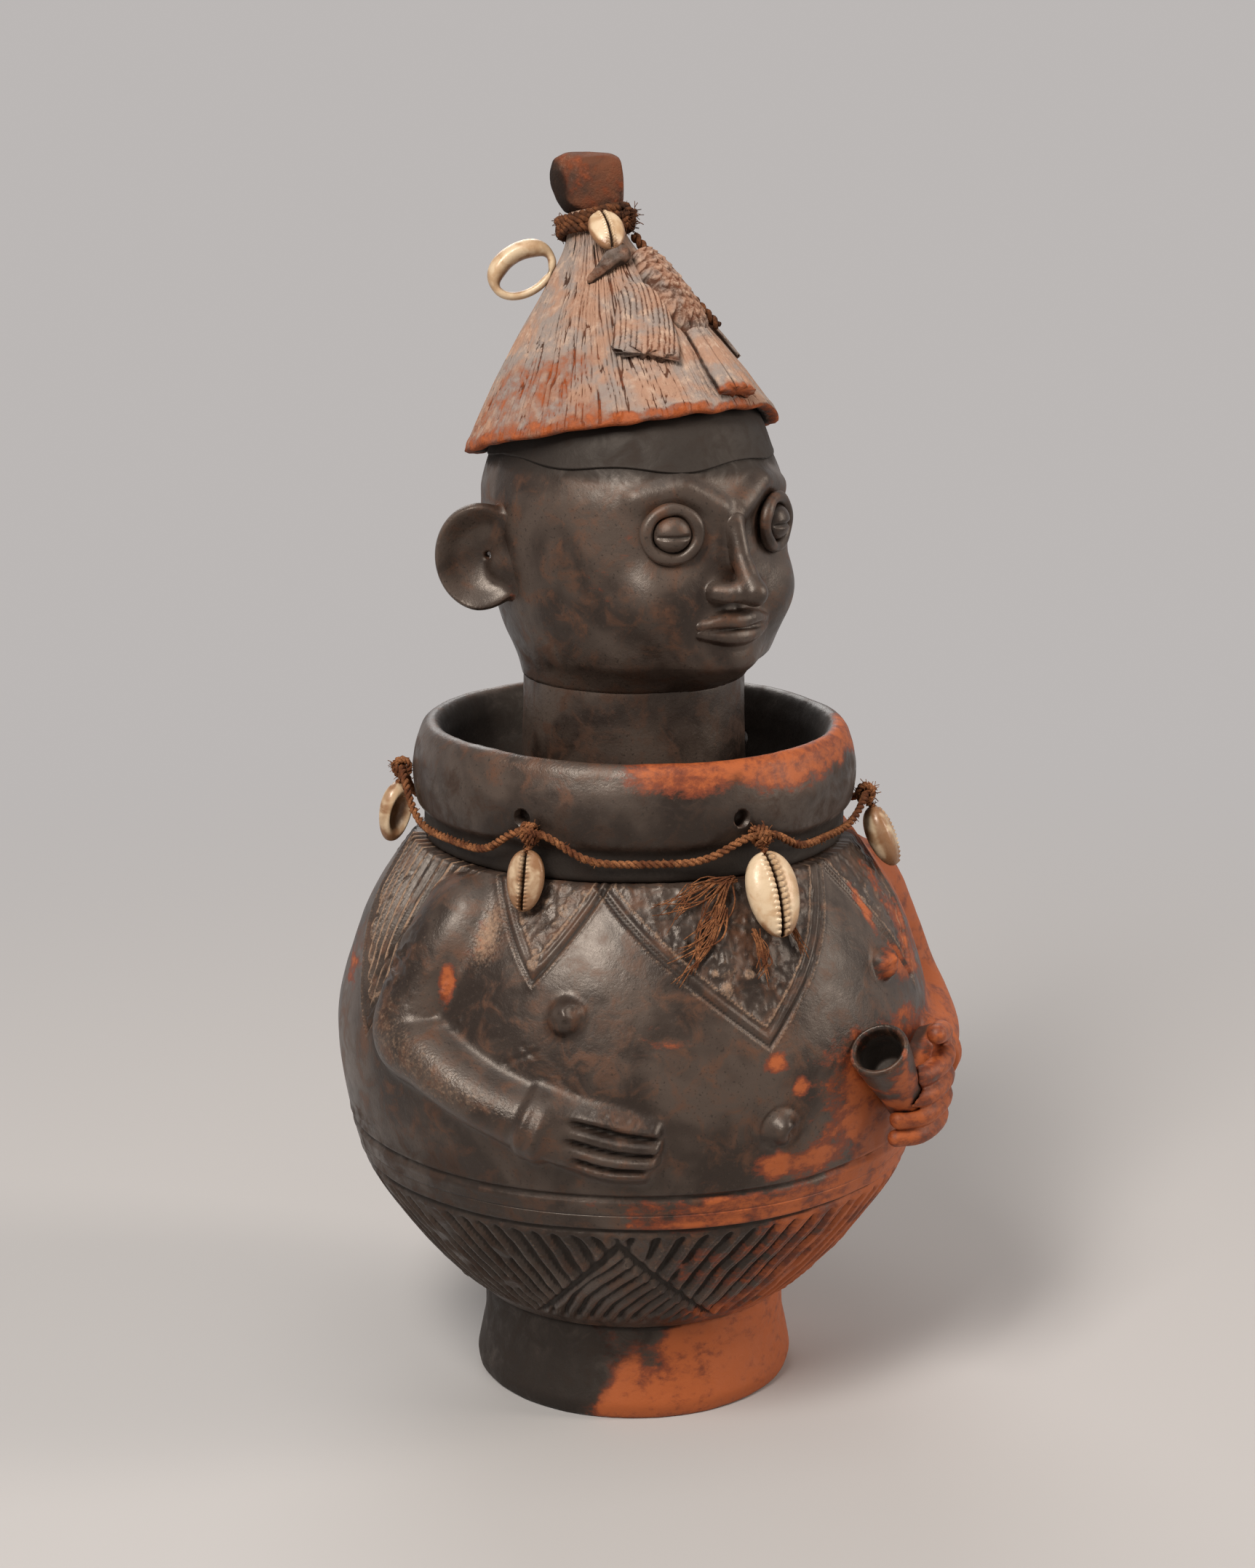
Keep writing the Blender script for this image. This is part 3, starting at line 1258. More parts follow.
def front_weighted(columns):
    """Azimuths that stand closer together on the side with the modelling."""
    fine = np.linspace(-200, 160, 2000)
    weight = 1 + 0.75 * ramp(fine, -118, -104) * (1 - ramp(fine, 92, 106))
    total = np.concatenate([[0], np.cumsum(weight[:-1])])
    total = total / (total[-1] + weight[-1])
    return np.interp(np.arange(columns) / columns, total, fine)


def pot_wall(azimuth, heights, relief_at):
    """Rows of points up the pot's outside with their relief, and its paint."""
    azimuths, rows = np.meshgrid(azimuth, heights)
    relief = relief_at(azimuths, rows)
    lift = relief["height"]
    paint = pot_paint(azimuths, rows, relief, lift)
    return azimuths, rows, relief, lift, paint


def inner_rows(azimuth, places):
    """Plain rows of points inside a hollow, as radius and height."""
    angle = azimuth * DEGREE
    return np.stack([at_angle(angle, r, np.full(len(angle), float(z))) for r, z in places])


def pot_inside(height):
    slope = pot_radius(height + 0.5) - pot_radius(height - 0.5)
    return pot_radius(height) - POT_WALL * np.hypot(1, slope)


def with_inner(outer, paint, inner, before=False):
    rows = np.concatenate([inner, outer] if before else [outer, inner])
    painted = {}
    for key, value in paint.items():
        plain = np.full(inner.shape[:2], 0.5 if key == "soot" else 0.0)
        painted[key] = np.concatenate([plain, value] if before else [value, plain])
    return rows, painted


def grown(mask, steps):
    """A mask of grid points, wider by some steps on every side."""
    for _ in range(steps):
        wide = mask.copy()
        wide[1:] |= mask[:-1]
        wide[:-1] |= mask[1:]
        wide[:, 1:] |= mask[:, :-1]
        wide[:, :-1] |= mask[:, 1:]
        mask = wide
    return mask


def limb_mask(name, wall):
    """The belly's grid points that an applied piece covers, with a margin on the bare skin."""
    azimuths, rows, relief = wall[:3]
    left, right, low, high = LIMBS[name]
    if name == "navel_boss":
        gap = np.linalg.norm(relief["spots"] - pot_surface(*NAVEL), axis=-1)
        share = ramp(-gap, -NAVEL_RADIUS - 1, -NAVEL_RADIUS)
    elif "boss" in name:
        share = ramp(relief["raw"][name], 0.5, 1.2)
    else:
        share = limb_share(relief, name)
    inside = (azimuths >= left) & (azimuths <= right) & (rows >= low) & (rows <= high)
    return grown((share > 0.02) & inside, 6)


def make_belly():
    azimuth = front_weighted(720)
    heights = np.linspace(BAND_HEIGHT, SHOULDER_HEIGHT, 122)
    wall = pot_wall(azimuth, heights, belly_relief)
    azimuths, rows, relief, lift, paint = wall
    sunk = np.zeros_like(lift)
    covered = np.zeros(lift.shape, bool)
    for name in LIMBS:
        covered |= ~grown(~limb_mask(name, wall), 4)
        if "boss" in name:
            sunk = np.maximum(sunk, ramp(relief["raw"][name], 1.4, 2.4))
        else:
            sunk = np.maximum(sunk, ramp(relief["raw"][name], 2.0, 3.2))
    own = lift * (1 - sunk) - 0.6 * sunk - 0.4 * covered
    edge = 1 - ramp(rows, BAND_HEIGHT, BAND_HEIGHT + 1.5)
    own = own * (1 - edge)
    outer = pot_surface(azimuths, rows, own)
    ledge = SHOULDER_HEIGHT - POT_WALL
    places = [(50, SHOULDER_HEIGHT), (41, SHOULDER_HEIGHT), (MOUTH_RADIUS, SHOULDER_HEIGHT - 1)]
    places += [(MOUTH_RADIUS, ledge + 1), (41, ledge), (50, ledge - 0.3)]
    places += [(pot_inside(z), z) for z in np.linspace(ledge - 3, BAND_HEIGHT, 9)]
    places += [(BAND_INNER_RADIUS, BAND_HEIGHT)]
    rows_all, painted = with_inner(outer, paint, inner_rows(azimuth, places))
    mesh = skin_mesh("belly_skin", in_pot(rows_all), painted, wrap_rows=True)
    finish_piece(mesh, smoked_clay, "vessel", "upper_belly")
    return wall


# How far each applied piece stands over the shared skin, so that no two lie in one surface
PIECE_STEP = 0.005


def make_limbs(wall):
    """Each limb is a slab over the belly's own grid of points, so the two skins meet in one line."""
    azimuths, rows, _, lift, paint = wall
    for order, name in enumerate(LIMBS):
        mask = limb_mask(name, wall)
        levels, columns = np.nonzero(mask)
        cut = np.s_[levels.min() : levels.max() + 1, columns.min() : columns.max() + 1]
        top = (lift + PIECE_STEP * (order + 1))[cut]
        upper = pot_surface(azimuths[cut], rows[cut], top)
        lower = pot_surface(azimuths[cut], rows[cut], np.minimum(top - 1.2, -1.5))
        tint = {key: value[cut] for key, value in paint.items()}
        mesh = patch_mesh(name + "_clay", in_pot(upper), in_pot(lower), mask[cut], tint)
        slot = "bare_clay" if name in ("left_arm", "left_bracelet") else None
        finish_piece(mesh, smoked_clay, "vessel", name, slot=slot)


LOWER_APEXES = (-29, 61, 151, 241)
APEX_HEIGHT = 62.5


def bowl_relief(azimuth, height):
    """The incised net of triangles and slanting strokes under the band."""
    spots = pot_surface(azimuth, height)
    ground = 0.3 * fractal(spots, 20, 2, 31) + 0.07 * fractal(spots, 4, 2, 33)
    scale = 60 * DEGREE
    wobble = 1.1 * noise(spots, 17, 34) + 0.4 * noise(spots, 5, 35)
    below = np.maximum(APEX_HEIGHT - height, -12)
    inside = np.zeros(spots.shape[:-1])
    edge = np.full(spots.shape[:-1], 99.0)
    for apex in LOWER_APEXES:
        away = (around(azimuth, apex) - apex) * scale
        slack = 0.62 * below + 0.0003 * np.maximum(below, 0) ** 3 - np.abs(away) + 0.6 * wobble
        gap = slack * 0.78
        inside = np.maximum(inside, ramp(gap, -0.4, 0.6))
        edge = np.where(np.abs(gap) < np.abs(edge), gap, edge)
    zone_number = np.floor((around(azimuth, 106) - LOWER_APEXES[0]) / 90)
    leaning = np.where(zone_number % 2 == 0, 1, -1)
    from_apex = (around(azimuth, 106) - LOWER_APEXES[0] - 90 * zone_number) * scale
    lean_out = from_apex - leaning * 0.32 * height + wobble
    lean_in = (around(azimuth, 106) * scale) - 0.8 * height + wobble
    coarse = np.where(leaning > 0, 5.3, 4.3)
    out_lines = np.abs((lean_out / coarse) % 1 - 0.5) * coarse
    in_lines = np.abs((lean_in / 4.6) % 1 - 0.5) * 4.6
    zone = ramp(height, 29, 32) * (1 - ramp(height, BAND_HEIGHT - 8.5, BAND_HEIGHT - 6))
    broken = ramp(noise(spots, 7, 36), -0.75, -0.35)
    strokes = (1 - inside) * groove(out_lines, 0.95, 1.7) + inside * groove(in_lines, 0.85, 1.3)
    border = groove(edge, 0.9, 1.5)
    carved = zone * (strokes * broken * (1 - bell(edge, 1.4)) + border)
    wave = height - (BAND_HEIGHT - BAND_LINE_SPREAD) - 0.5 * noise(spots, 30, 2)
    carved = carved + groove(wave, 0.8, 1.1)
    total = ground + carved
    dust = zone * 0.35 * ramp(carved, 0.08, 0.35)
    soot = 0.95 * ramp(-carved, 0.3, 0.9)
    return {"spots": spots, "height": total, "dust": dust, "soot": soot}


def make_bowl():
    azimuth = front_weighted(780)
    heights = np.linspace(FOOT_HEIGHT, BAND_HEIGHT, 92)
    azimuths, rows, _, lift, paint = pot_wall(azimuth, heights, bowl_relief)
    edge = 1 - ramp(rows, FOOT_HEIGHT, FOOT_HEIGHT + 1.5) * ramp(-rows, -BAND_HEIGHT, 1.5 - BAND_HEIGHT)
    outer = pot_surface(azimuths, rows, lift * (1 - edge))
    places = [(BAND_INNER_RADIUS, BAND_HEIGHT)]
    places += [(pot_inside(z), z) for z in np.linspace(BAND_HEIGHT, FLOOR_HEIGHT + 2, 6)]
    places += [(36, FLOOR_HEIGHT), (12, FLOOR_HEIGHT)]
    rows_all, painted = with_inner(outer, paint, inner_rows(azimuth, places))
    under = inner_rows(azimuth, [(10, FOOT_HEIGHT), (40, FOOT_HEIGHT)])
    rows_all, painted = with_inner(rows_all, painted, under, before=True)
    mesh = skin_mesh("lower_bowl_skin", in_pot(rows_all), painted)
    finish_piece(mesh, smoked_clay, "vessel", "lower_bowl")


def profile_rows(profile, azimuth, amount, size, seed, fine=0.06):
    """A ring of clay over a profile of radius and height, worn uneven by hand."""
    profile = np.array(profile, float)
    along = np.vstack([profile[-1:], profile, profile[:1]])
    edge = along[2:] - along[:-2]
    out = unit(np.stack([edge[:, 1], -edge[:, 0]], -1))
    angle = azimuth * DEGREE
    r, z = profile[:, 0][:, None], profile[:, 1][:, None]
    spots = at_angle(angle, r, z + 0 * angle)
    lift = amount * fractal(spots, size, 2, seed) + fine * fractal(spots, 3, 2, seed + 3)
    rows = at_angle(angle, r + lift * out[:, 0][:, None], z + lift * out[:, 1][:, None])
    return rows, spots


def stepped(corners, step, least):
    """A line through corners, with points every step."""
    corners = np.array(corners, float)
    rows = []
    for a, b in zip(corners[:-1], corners[1:]):
        count = max(int(np.linalg.norm(b - a) / step), least)
        rows.append(a + (b - a) * np.linspace(0, 1, count, endpoint=False)[:, None])
    return np.vstack(rows)


def round_profile(corners, step=0.8):
    """A closed profile through corners, softened."""
    line = stepped(corners + corners[:1], step, 1)
    for _ in range(2):
        line = 0.5 * line + 0.25 * np.roll(line, 1, 0) + 0.25 * np.roll(line, -1, 0)
    return line


def open_profile(corners, passes):
    """A profile that starts and ends at the axis, softened between its ends."""
    line = np.vstack([stepped(corners, 0.5, 2), corners[-1:]])
    for _ in range(passes):
        line[1:-1] = 0.5 * line[1:-1] + 0.25 * (line[:-2] + line[2:])
    return line


def make_foot():
    corners = [
        (FOOT_RECESS_RADIUS + 2, 0.05), (FOOT_BASE_RADIUS - 1, 0.05),
        (FOOT_BASE_RADIUS, FOOT_HEIGHT * 0.15), (FOOT_TOP_RADIUS + 0.4, FOOT_HEIGHT * 0.6),
        (FOOT_TOP_RADIUS + 0.2, FOOT_HEIGHT - 0.5), (FOOT_RECESS_RADIUS, FOOT_HEIGHT - 0.5),
        (FOOT_RECESS_RADIUS + 1, FOOT_HEIGHT * 0.5),
    ]
    azimuth = azimuths_round(420)
    profile = round_profile(corners)
    rows, spots = profile_rows(profile, azimuth, 0.3, 14, 41)
    rows[..., 2] = np.maximum(rows[..., 2], 0)
    wide = around(np.broadcast_to(azimuth, rows.shape[:2]), 0)
    cloud = fractal(spots, 16, 3, 44)
    facing = ramp(wide - 1.4 * spots[..., 2] + 12 * cloud, -52, -30) * (1 - ramp(wide, 120, 160))
    smoked_gap = np.abs(around(wide, -85) + 85)
    paint = {
        "bare": 0.95 * facing + 0.4 * ramp(cloud, 0.2, 0.6),
        "dust": 0.25 * ramp(noise(spots, 3, 45), 0.2, 0.8),
        "soot": 0.75 * (1 - facing) * ramp(-smoked_gap, -150, -50) + 0.4 * (spots[..., 2] > 25),
    }
    mesh = skin_mesh("foot_ring_clay", in_pot(rows), paint, wrap_rows=True)
    finish_piece(mesh, smoked_clay, "vessel", "foot_ring", slot="bare_clay")


def make_collar():
    corners = [
        (COLLAR_SEAT_RADIUS, SHOULDER_HEIGHT + 0.1), (THROAT_RADIUS, SHOULDER_HEIGHT + 0.1),
        (THROAT_RADIUS, COLLAR_LIP - 1.6), (THROAT_RADIUS + 2.2, COLLAR_LIP + 0.6),
        (COLLAR_RADIUS - 0.1, COLLAR_LIP + 6), (COLLAR_RADIUS, COLLAR_LIP + 10),
        (COLLAR_RADIUS - 0.8, COLLAR_LIP + 15), (COLLAR_RADIUS - 2.4, COLLAR_TOP - 2.2),
        (COLLAR_RADIUS - 4.2, COLLAR_TOP - 0.2), (COLLAR_RADIUS - 6.2, COLLAR_TOP),
        (COLLAR_RADIUS - 7.8, COLLAR_TOP - 1.4), (COLLAR_RADIUS - 9.2, COLLAR_TOP - 6),
        (COLLAR_SEAT_RADIUS + 2.4, COLLAR_LIP + 8), (COLLAR_SEAT_RADIUS + 0.8, COLLAR_LIP + 2),
    ]
    azimuth = azimuths_round(760)
    profile = round_profile(corners, 0.85)
    rows, spots = profile_rows(profile, azimuth, 0.34, 17, 51, 0.09)
    rows[..., 2] += 0.5 * noise(spots, 40, 52) * ramp(spots[..., 2], 172, 186)
    wide = around(np.broadcast_to(azimuth, rows.shape[:2]), 0)
    z = spots[..., 2]
    outside = ramp(np.hypot(spots[..., 0], spots[..., 1]), 52.5, 55)
    cloud = fractal(spots, 14, 3, 54)
    streak = ramp(wide, -42, -18) * (1 - ramp(wide, 62, 84)) * ramp(z + 4 * cloud, 174.5, 181.5)
    bare = 0.8 * streak * outside + 0.3 * ramp(cloud, 0.35, 0.7)
    bare = np.maximum(bare, 0.6 * ramp(wide, 100, 130) * ramp(cloud, 0, 0.4))
    dust = 0.3 * outside * ramp(z, 181, 185) * ramp(cloud, -0.2, 0.4)
    soot = 0.75 * (1 - outside) + 0.85 * ramp(-z, -167.5, -162)
    soot = np.maximum(soot, 0.52 * outside * (1 - ramp(z + 6 * cloud, 176, 184)))
    for shell in SHELLS:
        middle = shell["azimuth"] + CORD_HOLE_OFFSET
        gap = np.abs(around(wide, middle) - middle)
        away = np.hypot(gap * DEGREE * COLLAR_RADIUS, z - CORD_HOLE_HEIGHT)
        soot = np.maximum(soot, 0.7 * ramp(-away, -6, -2.5))
    paint = {"bare": bare, "dust": dust, "soot": soot}
    mesh = skin_mesh("collar_skin", in_pot(rows), paint, wrap_rows=True)
    collar = new_object("collar_rough", mesh)
    cutters = []
    for shell in SHELLS:
        angle = (shell["azimuth"] + CORD_HOLE_OFFSET) * DEGREE
        spin = angles_round(24)
        bore = CORD_HOLE_RADIUS * np.stack([np.cos(spin), 0 * spin, np.sin(spin)], -1)
        ends = np.stack([bore + np.array([0, -COLLAR_RADIUS + shift, 0]) for shift in (-4, 14)])
        ends = ends @ turn_z(angle).T + np.array([0, 0, CORD_HOLE_HEIGHT])
        cutters.append(skin_mesh("cord_bore", in_pot(ends)))
    cutter = new_object("cord_bores", join_meshes("cord_bores", cutters))
    modifier = collar.modifiers.new("bores", "BOOLEAN")
    modifier.operation = "DIFFERENCE"
    modifier.solver = "EXACT"
    modifier.object = cutter
    view = bpy.context.evaluated_depsgraph_get()
    bored = bpy.data.meshes.new_from_object(collar.evaluated_get(view))
    bored.name = "collar_skin_bored"
    bpy.data.objects.remove(collar)
    bpy.data.objects.remove(cutter)
    finish_piece(bored, smoked_clay, "vessel", "rim_collar")


make_limbs(make_belly())
make_bowl()
make_foot()
make_collar()


# Cup and fist
def make_cup():
    base = pot_surface(32, 91, 5)
    mouth = pot_surface(18, 113.5, 8.9)
    along = unit(mouth - base)
    side = unit(np.cross(along, [0, 0, 1]))
    up = np.cross(side, along)
    turn = np.stack([side, up, along], -1)
    corners = [
        (0.2, 0), (4, 0), (5.1, 2.4), (6.1, 12), (7.2, 21), (8, 28.2), (7.1, 29), (6.2, 28.2),
        (5.4, 22), (4.6, 17), (0.2, 16),
    ]
    profile = open_profile(corners, 1)
    angle = azimuths_round(110)
    rows, spots = profile_rows(profile, angle, 0.22, 6, 61)
    inside = np.arange(len(profile)) > len(profile) * 0.66
    cloud = fractal(spots, 7, 3, 63)
    paint = {
        "bare": 0.25 + 0.6 * ramp(cloud, -0.1, 0.5) * ~inside[:, None],
        "dust": 0.4 * ramp(spots[..., 2], 25, 28) * ramp(cloud, -0.5, 0.3) * ~inside[:, None],
        "soot": 0.9 * inside[:, None] * ramp(-spots[..., 2], -28, -24) + 0 * cloud,
    }
    mesh = skin_mesh("drinking_cup_clay", in_pot(rows @ turn.T + base), paint)
    finish_piece(mesh, smoked_clay, "vessel", "drinking_cup")
    return base, mouth


def make_fist(cup_base, cup_mouth):
    start = LEFT_WRIST - 1
    step = 0.5
    low, high = (33, -86, 78), (69, -50, 117)
    points = field_grid(low, high, step)

    def strand(stations):
        rows = catmull(stations, 14)
        return chain(points, pot_surface(rows[:, 0], rows[:, 1], rows[:, 2]), rows[:, 3])

    line = left_line(start)
    heel = strand(
        [
            (start + 1, line + 2.4, 0.6, 6), (start - 5, line + 1.5, 2, 7.2),
            (start - 11, line - 1, 1.6, 6.4),
        ]
    )
    under = strand(
        [
            (start + 1, line - 3, 0.6, 5.6), (start - 5, line - 4.5, 2, 6.6),
            (start - 11, line - 6, 1.4, 6),
        ]
    )
    hand = blend_min(heel, under, 3)
    for i in range(4):
        height = LEFT_WRIST_HEIGHT + 5.1 * (1.1 - i) - 1
        radius = 2.9 * (0.9 if i == 3 else 1)
        finger = strand(
            [
                (start - 3, height + 0.5, 4, radius), (start - 9, height, 9.6, radius * 1.05),
                (start - 17, height - 1, 10.4, radius),
                (start - 21.5, height - 1.6, 7, radius * 0.9),
            ]
        )
        hand = blend_min(hand, finger, 0.9)
    thumb = strand(
        [
            (start - 2, line + 6, 4, 3.4), (start - 9, line + 10, 9, 3.1),
            (start - 16, line + 12, 12.9, 2.6),
        ]
    )
    hand = blend_min(hand, thumb, 1.4)
    ground = np.hypot(points[..., 0], points[..., 1]) - pot_radius(points[..., 2])
    hand = blend_min(hand, ground + 0.6, 2.2)
    hand = np.maximum(hand, -(ground + 2.2))
    outline = np.minimum(np.minimum(heel, under), thumb)
    for i in range(4):
        height = LEFT_WRIST_HEIGHT + 5.1 * (1.1 - i) - 1
        bent = [(start - 3, height, 4, 3), (start - 12, height, 9.6, 3)]
        bent += [(start - 21.5, height - 1.6, 6.6, 3)]
        outline = np.minimum(outline, strand(bent))
    hand = np.maximum(hand, outline - 2.4)
    cup = rod(points, cup_base, cup_mouth, 5.4, 7.9)
    hand = blend_max(hand, -cup, 0.5)
    bracelet = pot_surface(LEFT_WRIST + 1.5, left_line(LEFT_WRIST), 0)
    outward = unit(pot_surface(LEFT_WRIST - 5, left_line(LEFT_WRIST), 0) - bracelet)
    hand = np.maximum(hand, -((points - bracelet) @ outward))
    spots, quads = skin_of(hand, low, step)
    cloud = fractal(spots, 7, 3, 66)
    away = np.hypot(spots[:, 0], spots[:, 1]) - pot_radius(spots[:, 2])
    paint = {
        "bare": 0.75 + 0.3 * cloud,
        "dust": 0.3 * ramp(away, 9, 13) * ramp(cloud, -0.2, 0.5),
        "soot": 0.75 * ramp(-away, -6.5, -1.5) + 0.2 * cloud,
    }
    mesh = build_mesh("left_fist_clay", in_pot(spots), [quads], paint)
    finish_piece(mesh, smoked_clay, "vessel", "left_fist", slot="bare_clay")


cup_base, cup_mouth = make_cup()
make_fist(cup_base, cup_mouth)


# Cord round the throat with its knots, loose fibres and shells
def cord_point(azimuth):
    """The cord's middle at azimuths in degrees: low under the collar, and high at each shell."""
    azimuth = np.asarray(azimuth, float)
    gaps = np.stack([np.abs(around(azimuth, s["azimuth"]) - s["azimuth"]) for s in SHELLS])
    nearest = gaps.argmin(0)
    distance = np.maximum(gaps.min(0) - KNOT_HALF_ANGLE, 0)
    knot = np.array([s["knot"] for s in SHELLS])[nearest]
    swell = bell(distance, 14)
    climb = bell(distance, 9)
    radius = CORD_LOW_RADIUS + (CORD_KNOT_RADIUS - CORD_LOW_RADIUS) * swell
    z = CORD_LOW_HEIGHT + (knot - CORD_LOW_HEIGHT) * climb
    return at_angle(azimuth * DEGREE, radius, z)


def make_cord():
    azimuth = azimuths_round(480)
    path = in_pot(cord_point(azimuth))
    turns = round(path_length(path, True) / 3.7)
    lay = path_length(path, True) / turns
    meshes = cord_meshes(path, 0.56, lay, 620, 1.7, closed=True, seed=3)
    mesh = join_meshes("throat_cord_laid", meshes)
    finish_piece(mesh, plant_fibre, "vessel", "collar_cord")


KNOT_WRAPS = 3


def make_knots():
    for i, shell in enumerate(SHELLS):
        middle = shell["azimuth"]
        turn = turn_z(middle * DEGREE)
        centre = cord_point(middle)
        t = np.linspace(0, 1, 90)
        angle = TURN * KNOT_WRAPS * t
        along = (t - 0.5) * 3.6
        coil = np.stack([along, 2.1 * np.cos(angle), 2.1 * np.sin(angle)], -1)
        back = -1.9 * np.cos(TURN * t * 0.9) - 0.4
        over = np.stack([1.9 * np.sin(TURN * t), back, 1.6 * np.cos(TURN * t) - 0.4], -1)
        meshes = []
        for k, path in enumerate((coil, over)):
            placed = in_pot(path @ turn.T + centre)
            meshes += cord_meshes(placed, 0.42, 2.6, 46, 2.4, seed=20 + 3 * i + k)
        mesh = join_meshes(f"throat_knot_{i + 1}", meshes)
        finish_piece(mesh, plant_fibre, "vessel", f"cord_knot_{i + 1}")


FIBRE_SIDES = 5


def make_tassel():
    """Bunches of fibre frayed out of the cord beside the front shell, and below it."""
    draws = np.random.default_rng(71)
    bunches = [
        ((-2.5, 156.5, 3.2), (-10, 153.5, 1.9), (-21, 148.3, 1.2), 16, 2.2),
        ((-2.5, 156, 3.4), (-7, 150, 1.8), (-12.5, 142.5, 1.2), 15, 1.9),
        ((-6, 149, 1.8), (-11, 142, 1.4), (-16.6, 135.3, 0.9), 15, 2.2),
        ((0.5, 143, 1.4), (0.8, 138, 1.2), (-0.5, 132, 1.0), 13, 1.3),
        ((8.5, 150, 1.6), (9.5, 143, 1.3), (10.8, 136.5, 1.0), 9, 0.9),
    ]
    points, faces, offset = [], [], 0
    for start, middle, end, count, spread in bunches:
        for _ in range(count):
            shift = draws.normal(0, spread, (3, 2)) * np.array([[0.35], [0.8], [1.25]])
            rows = np.array([start, middle, end], float)
            rows[:, 0] += shift[:, 0] / (66 * DEGREE)
            rows[:, 1] += shift[:, 1]
            rows[:, 2] += np.abs(draws.normal(0, 0.45, 3))
            rows[2] = rows[1] + (rows[2] - rows[1]) * draws.uniform(0.6, 1.12)
            line = catmull(rows, 12)
            centre = pot_surface(line[:, 0], line[:, 1], line[:, 2])
            centre += 0.25 * np.stack([noise(centre, 3, 80 + k) for k in range(3)], -1)
            along = unit(np.gradient(centre, axis=0))
            out = unit(centre * np.array([1, 1, 0]))
            side = unit(np.cross(along, out))
            up = np.cross(side, along)
            radius = draws.uniform(0.14, 0.3) * (1 - 0.55 * np.linspace(0, 1, 12) ** 3)
            spin = angles_round(FIBRE_SIDES)
            tube = centre[:, None] + radius[:, None, None] * (
                side[:, None] * np.cos(spin)[None, :, None] + up[:, None] * np.sin(spin)[None, :, None]
            )
            tube = tube.reshape(-1, 3)
            caps = np.array([centre[0], centre[-1]])
            grid = grid_faces(12, FIBRE_SIDES) + offset
            first = np.arange(FIBRE_SIDES) + offset
            last = first + 11 * FIBRE_SIDES
            tip = offset + len(tube)
            grid_tris = np.vstack([grid[:, [0, 1, 2]], grid[:, [0, 2, 3]]])
            faces += [grid_tris, fan_faces(first[::-1], tip), fan_faces(last, tip + 1)]
            points += [tube, caps]
            offset += len(tube) + 2
    mesh = build_mesh("frayed_tassel", in_pot(np.vstack(points)), [np.vstack(faces)])
    finish_piece(mesh, plant_fibre, "vessel", "fibre_tassel")


def cowrie_points(length, rows=130, columns=170, opened=0.0):
    """A cowrie about its hanging line: it hangs towards -Z and its toothed mouth faces -Y."""
    t = np.linspace(0.0, 1.0, rows)
    s = 0.5 - 0.5 * np.cos(np.pi * t)
    swell = np.sin(np.pi * t) ** 0.92 * (1.08 - 0.2 * s)
    angle = angles_round(columns)
    angle = angle - 0.5 * np.cos(angle)
    width, thick = length * 0.63, length * 0.45
    x = (width / 2) * swell[:, None] * np.cos(angle)
    depth = np.where(np.sin(angle) < 0, 0.78, 1.12) * np.sin(angle)
    y = (thick / 2) * swell[:, None] * depth
    z = -length * s[:, None] + 0 * x
    face = ramp(-np.sin(angle), 0.12, 0.6)[None, :]
    reach = ramp(np.sin(np.pi * t), 0.04, 0.35)[:, None]
    curve = (0.5 * np.sin(np.pi * s) - 0.25)[:, None] * length * 0.05
    gap = np.abs(x - curve) / length
    mouth = bell(gap, 0.024) * face * reach
    teeth = np.sin(z / length * TURN * 15)
    toothed = bell(gap - 0.055, 0.034) * face * reach
    y = y + length * (0.11 * mouth - 0.022 * toothed + 0.014 * toothed * teeth)
    soot = 1.15 * mouth + 0.62 * toothed * ramp(teeth, 0.0, 0.9)
    tan = 0.75 * ramp(s, 0.7, 1)[:, None] + 0.4 * ramp(-s, -0.14, 0)[:, None]
    tan = tan + 0.4 * ramp(np.abs(np.cos(angle)), 0.8, 1)[None, :] + 0 * x
    back = ramp(np.sin(angle), 0.15, 0.6)[None, :]
    spread = (x / (0.29 * width)) ** 2 + ((s[:, None] - 0.5) / 0.3) ** 2
    hollow = opened * back * bell(spread, 1)
    y = y - 0.62 * thick * hollow
    tan = tan + 0.9 * hollow
    soot = soot + 0.45 * hollow
    return np.stack([x, y, z], -1), {"soot": np.clip(soot, 0, 1), "tan": np.clip(tan, 0, 1)}


def hinge_basis(index):
    """The resting place of a hanging shell, from the solid's own vertices and its hinge."""
    node = frame["nodes"][f"cowrie_{index + 1}"]
    co = np.array([v.co for v in node.data.vertices], float) / MM
    shell = SHELLS[index]
    angle = shell["azimuth"] * DEGREE
    hinge = in_pot(cord_point(shell["azimuth"]))
    tip = co[np.linalg.norm(co - hinge, axis=1).argmax()]
    local = (tip - hinge) @ turn_z(angle)
    lean = math.atan2(-local[1], -local[2])
    return hinge, turn_z(angle) @ turn_x(-lean)


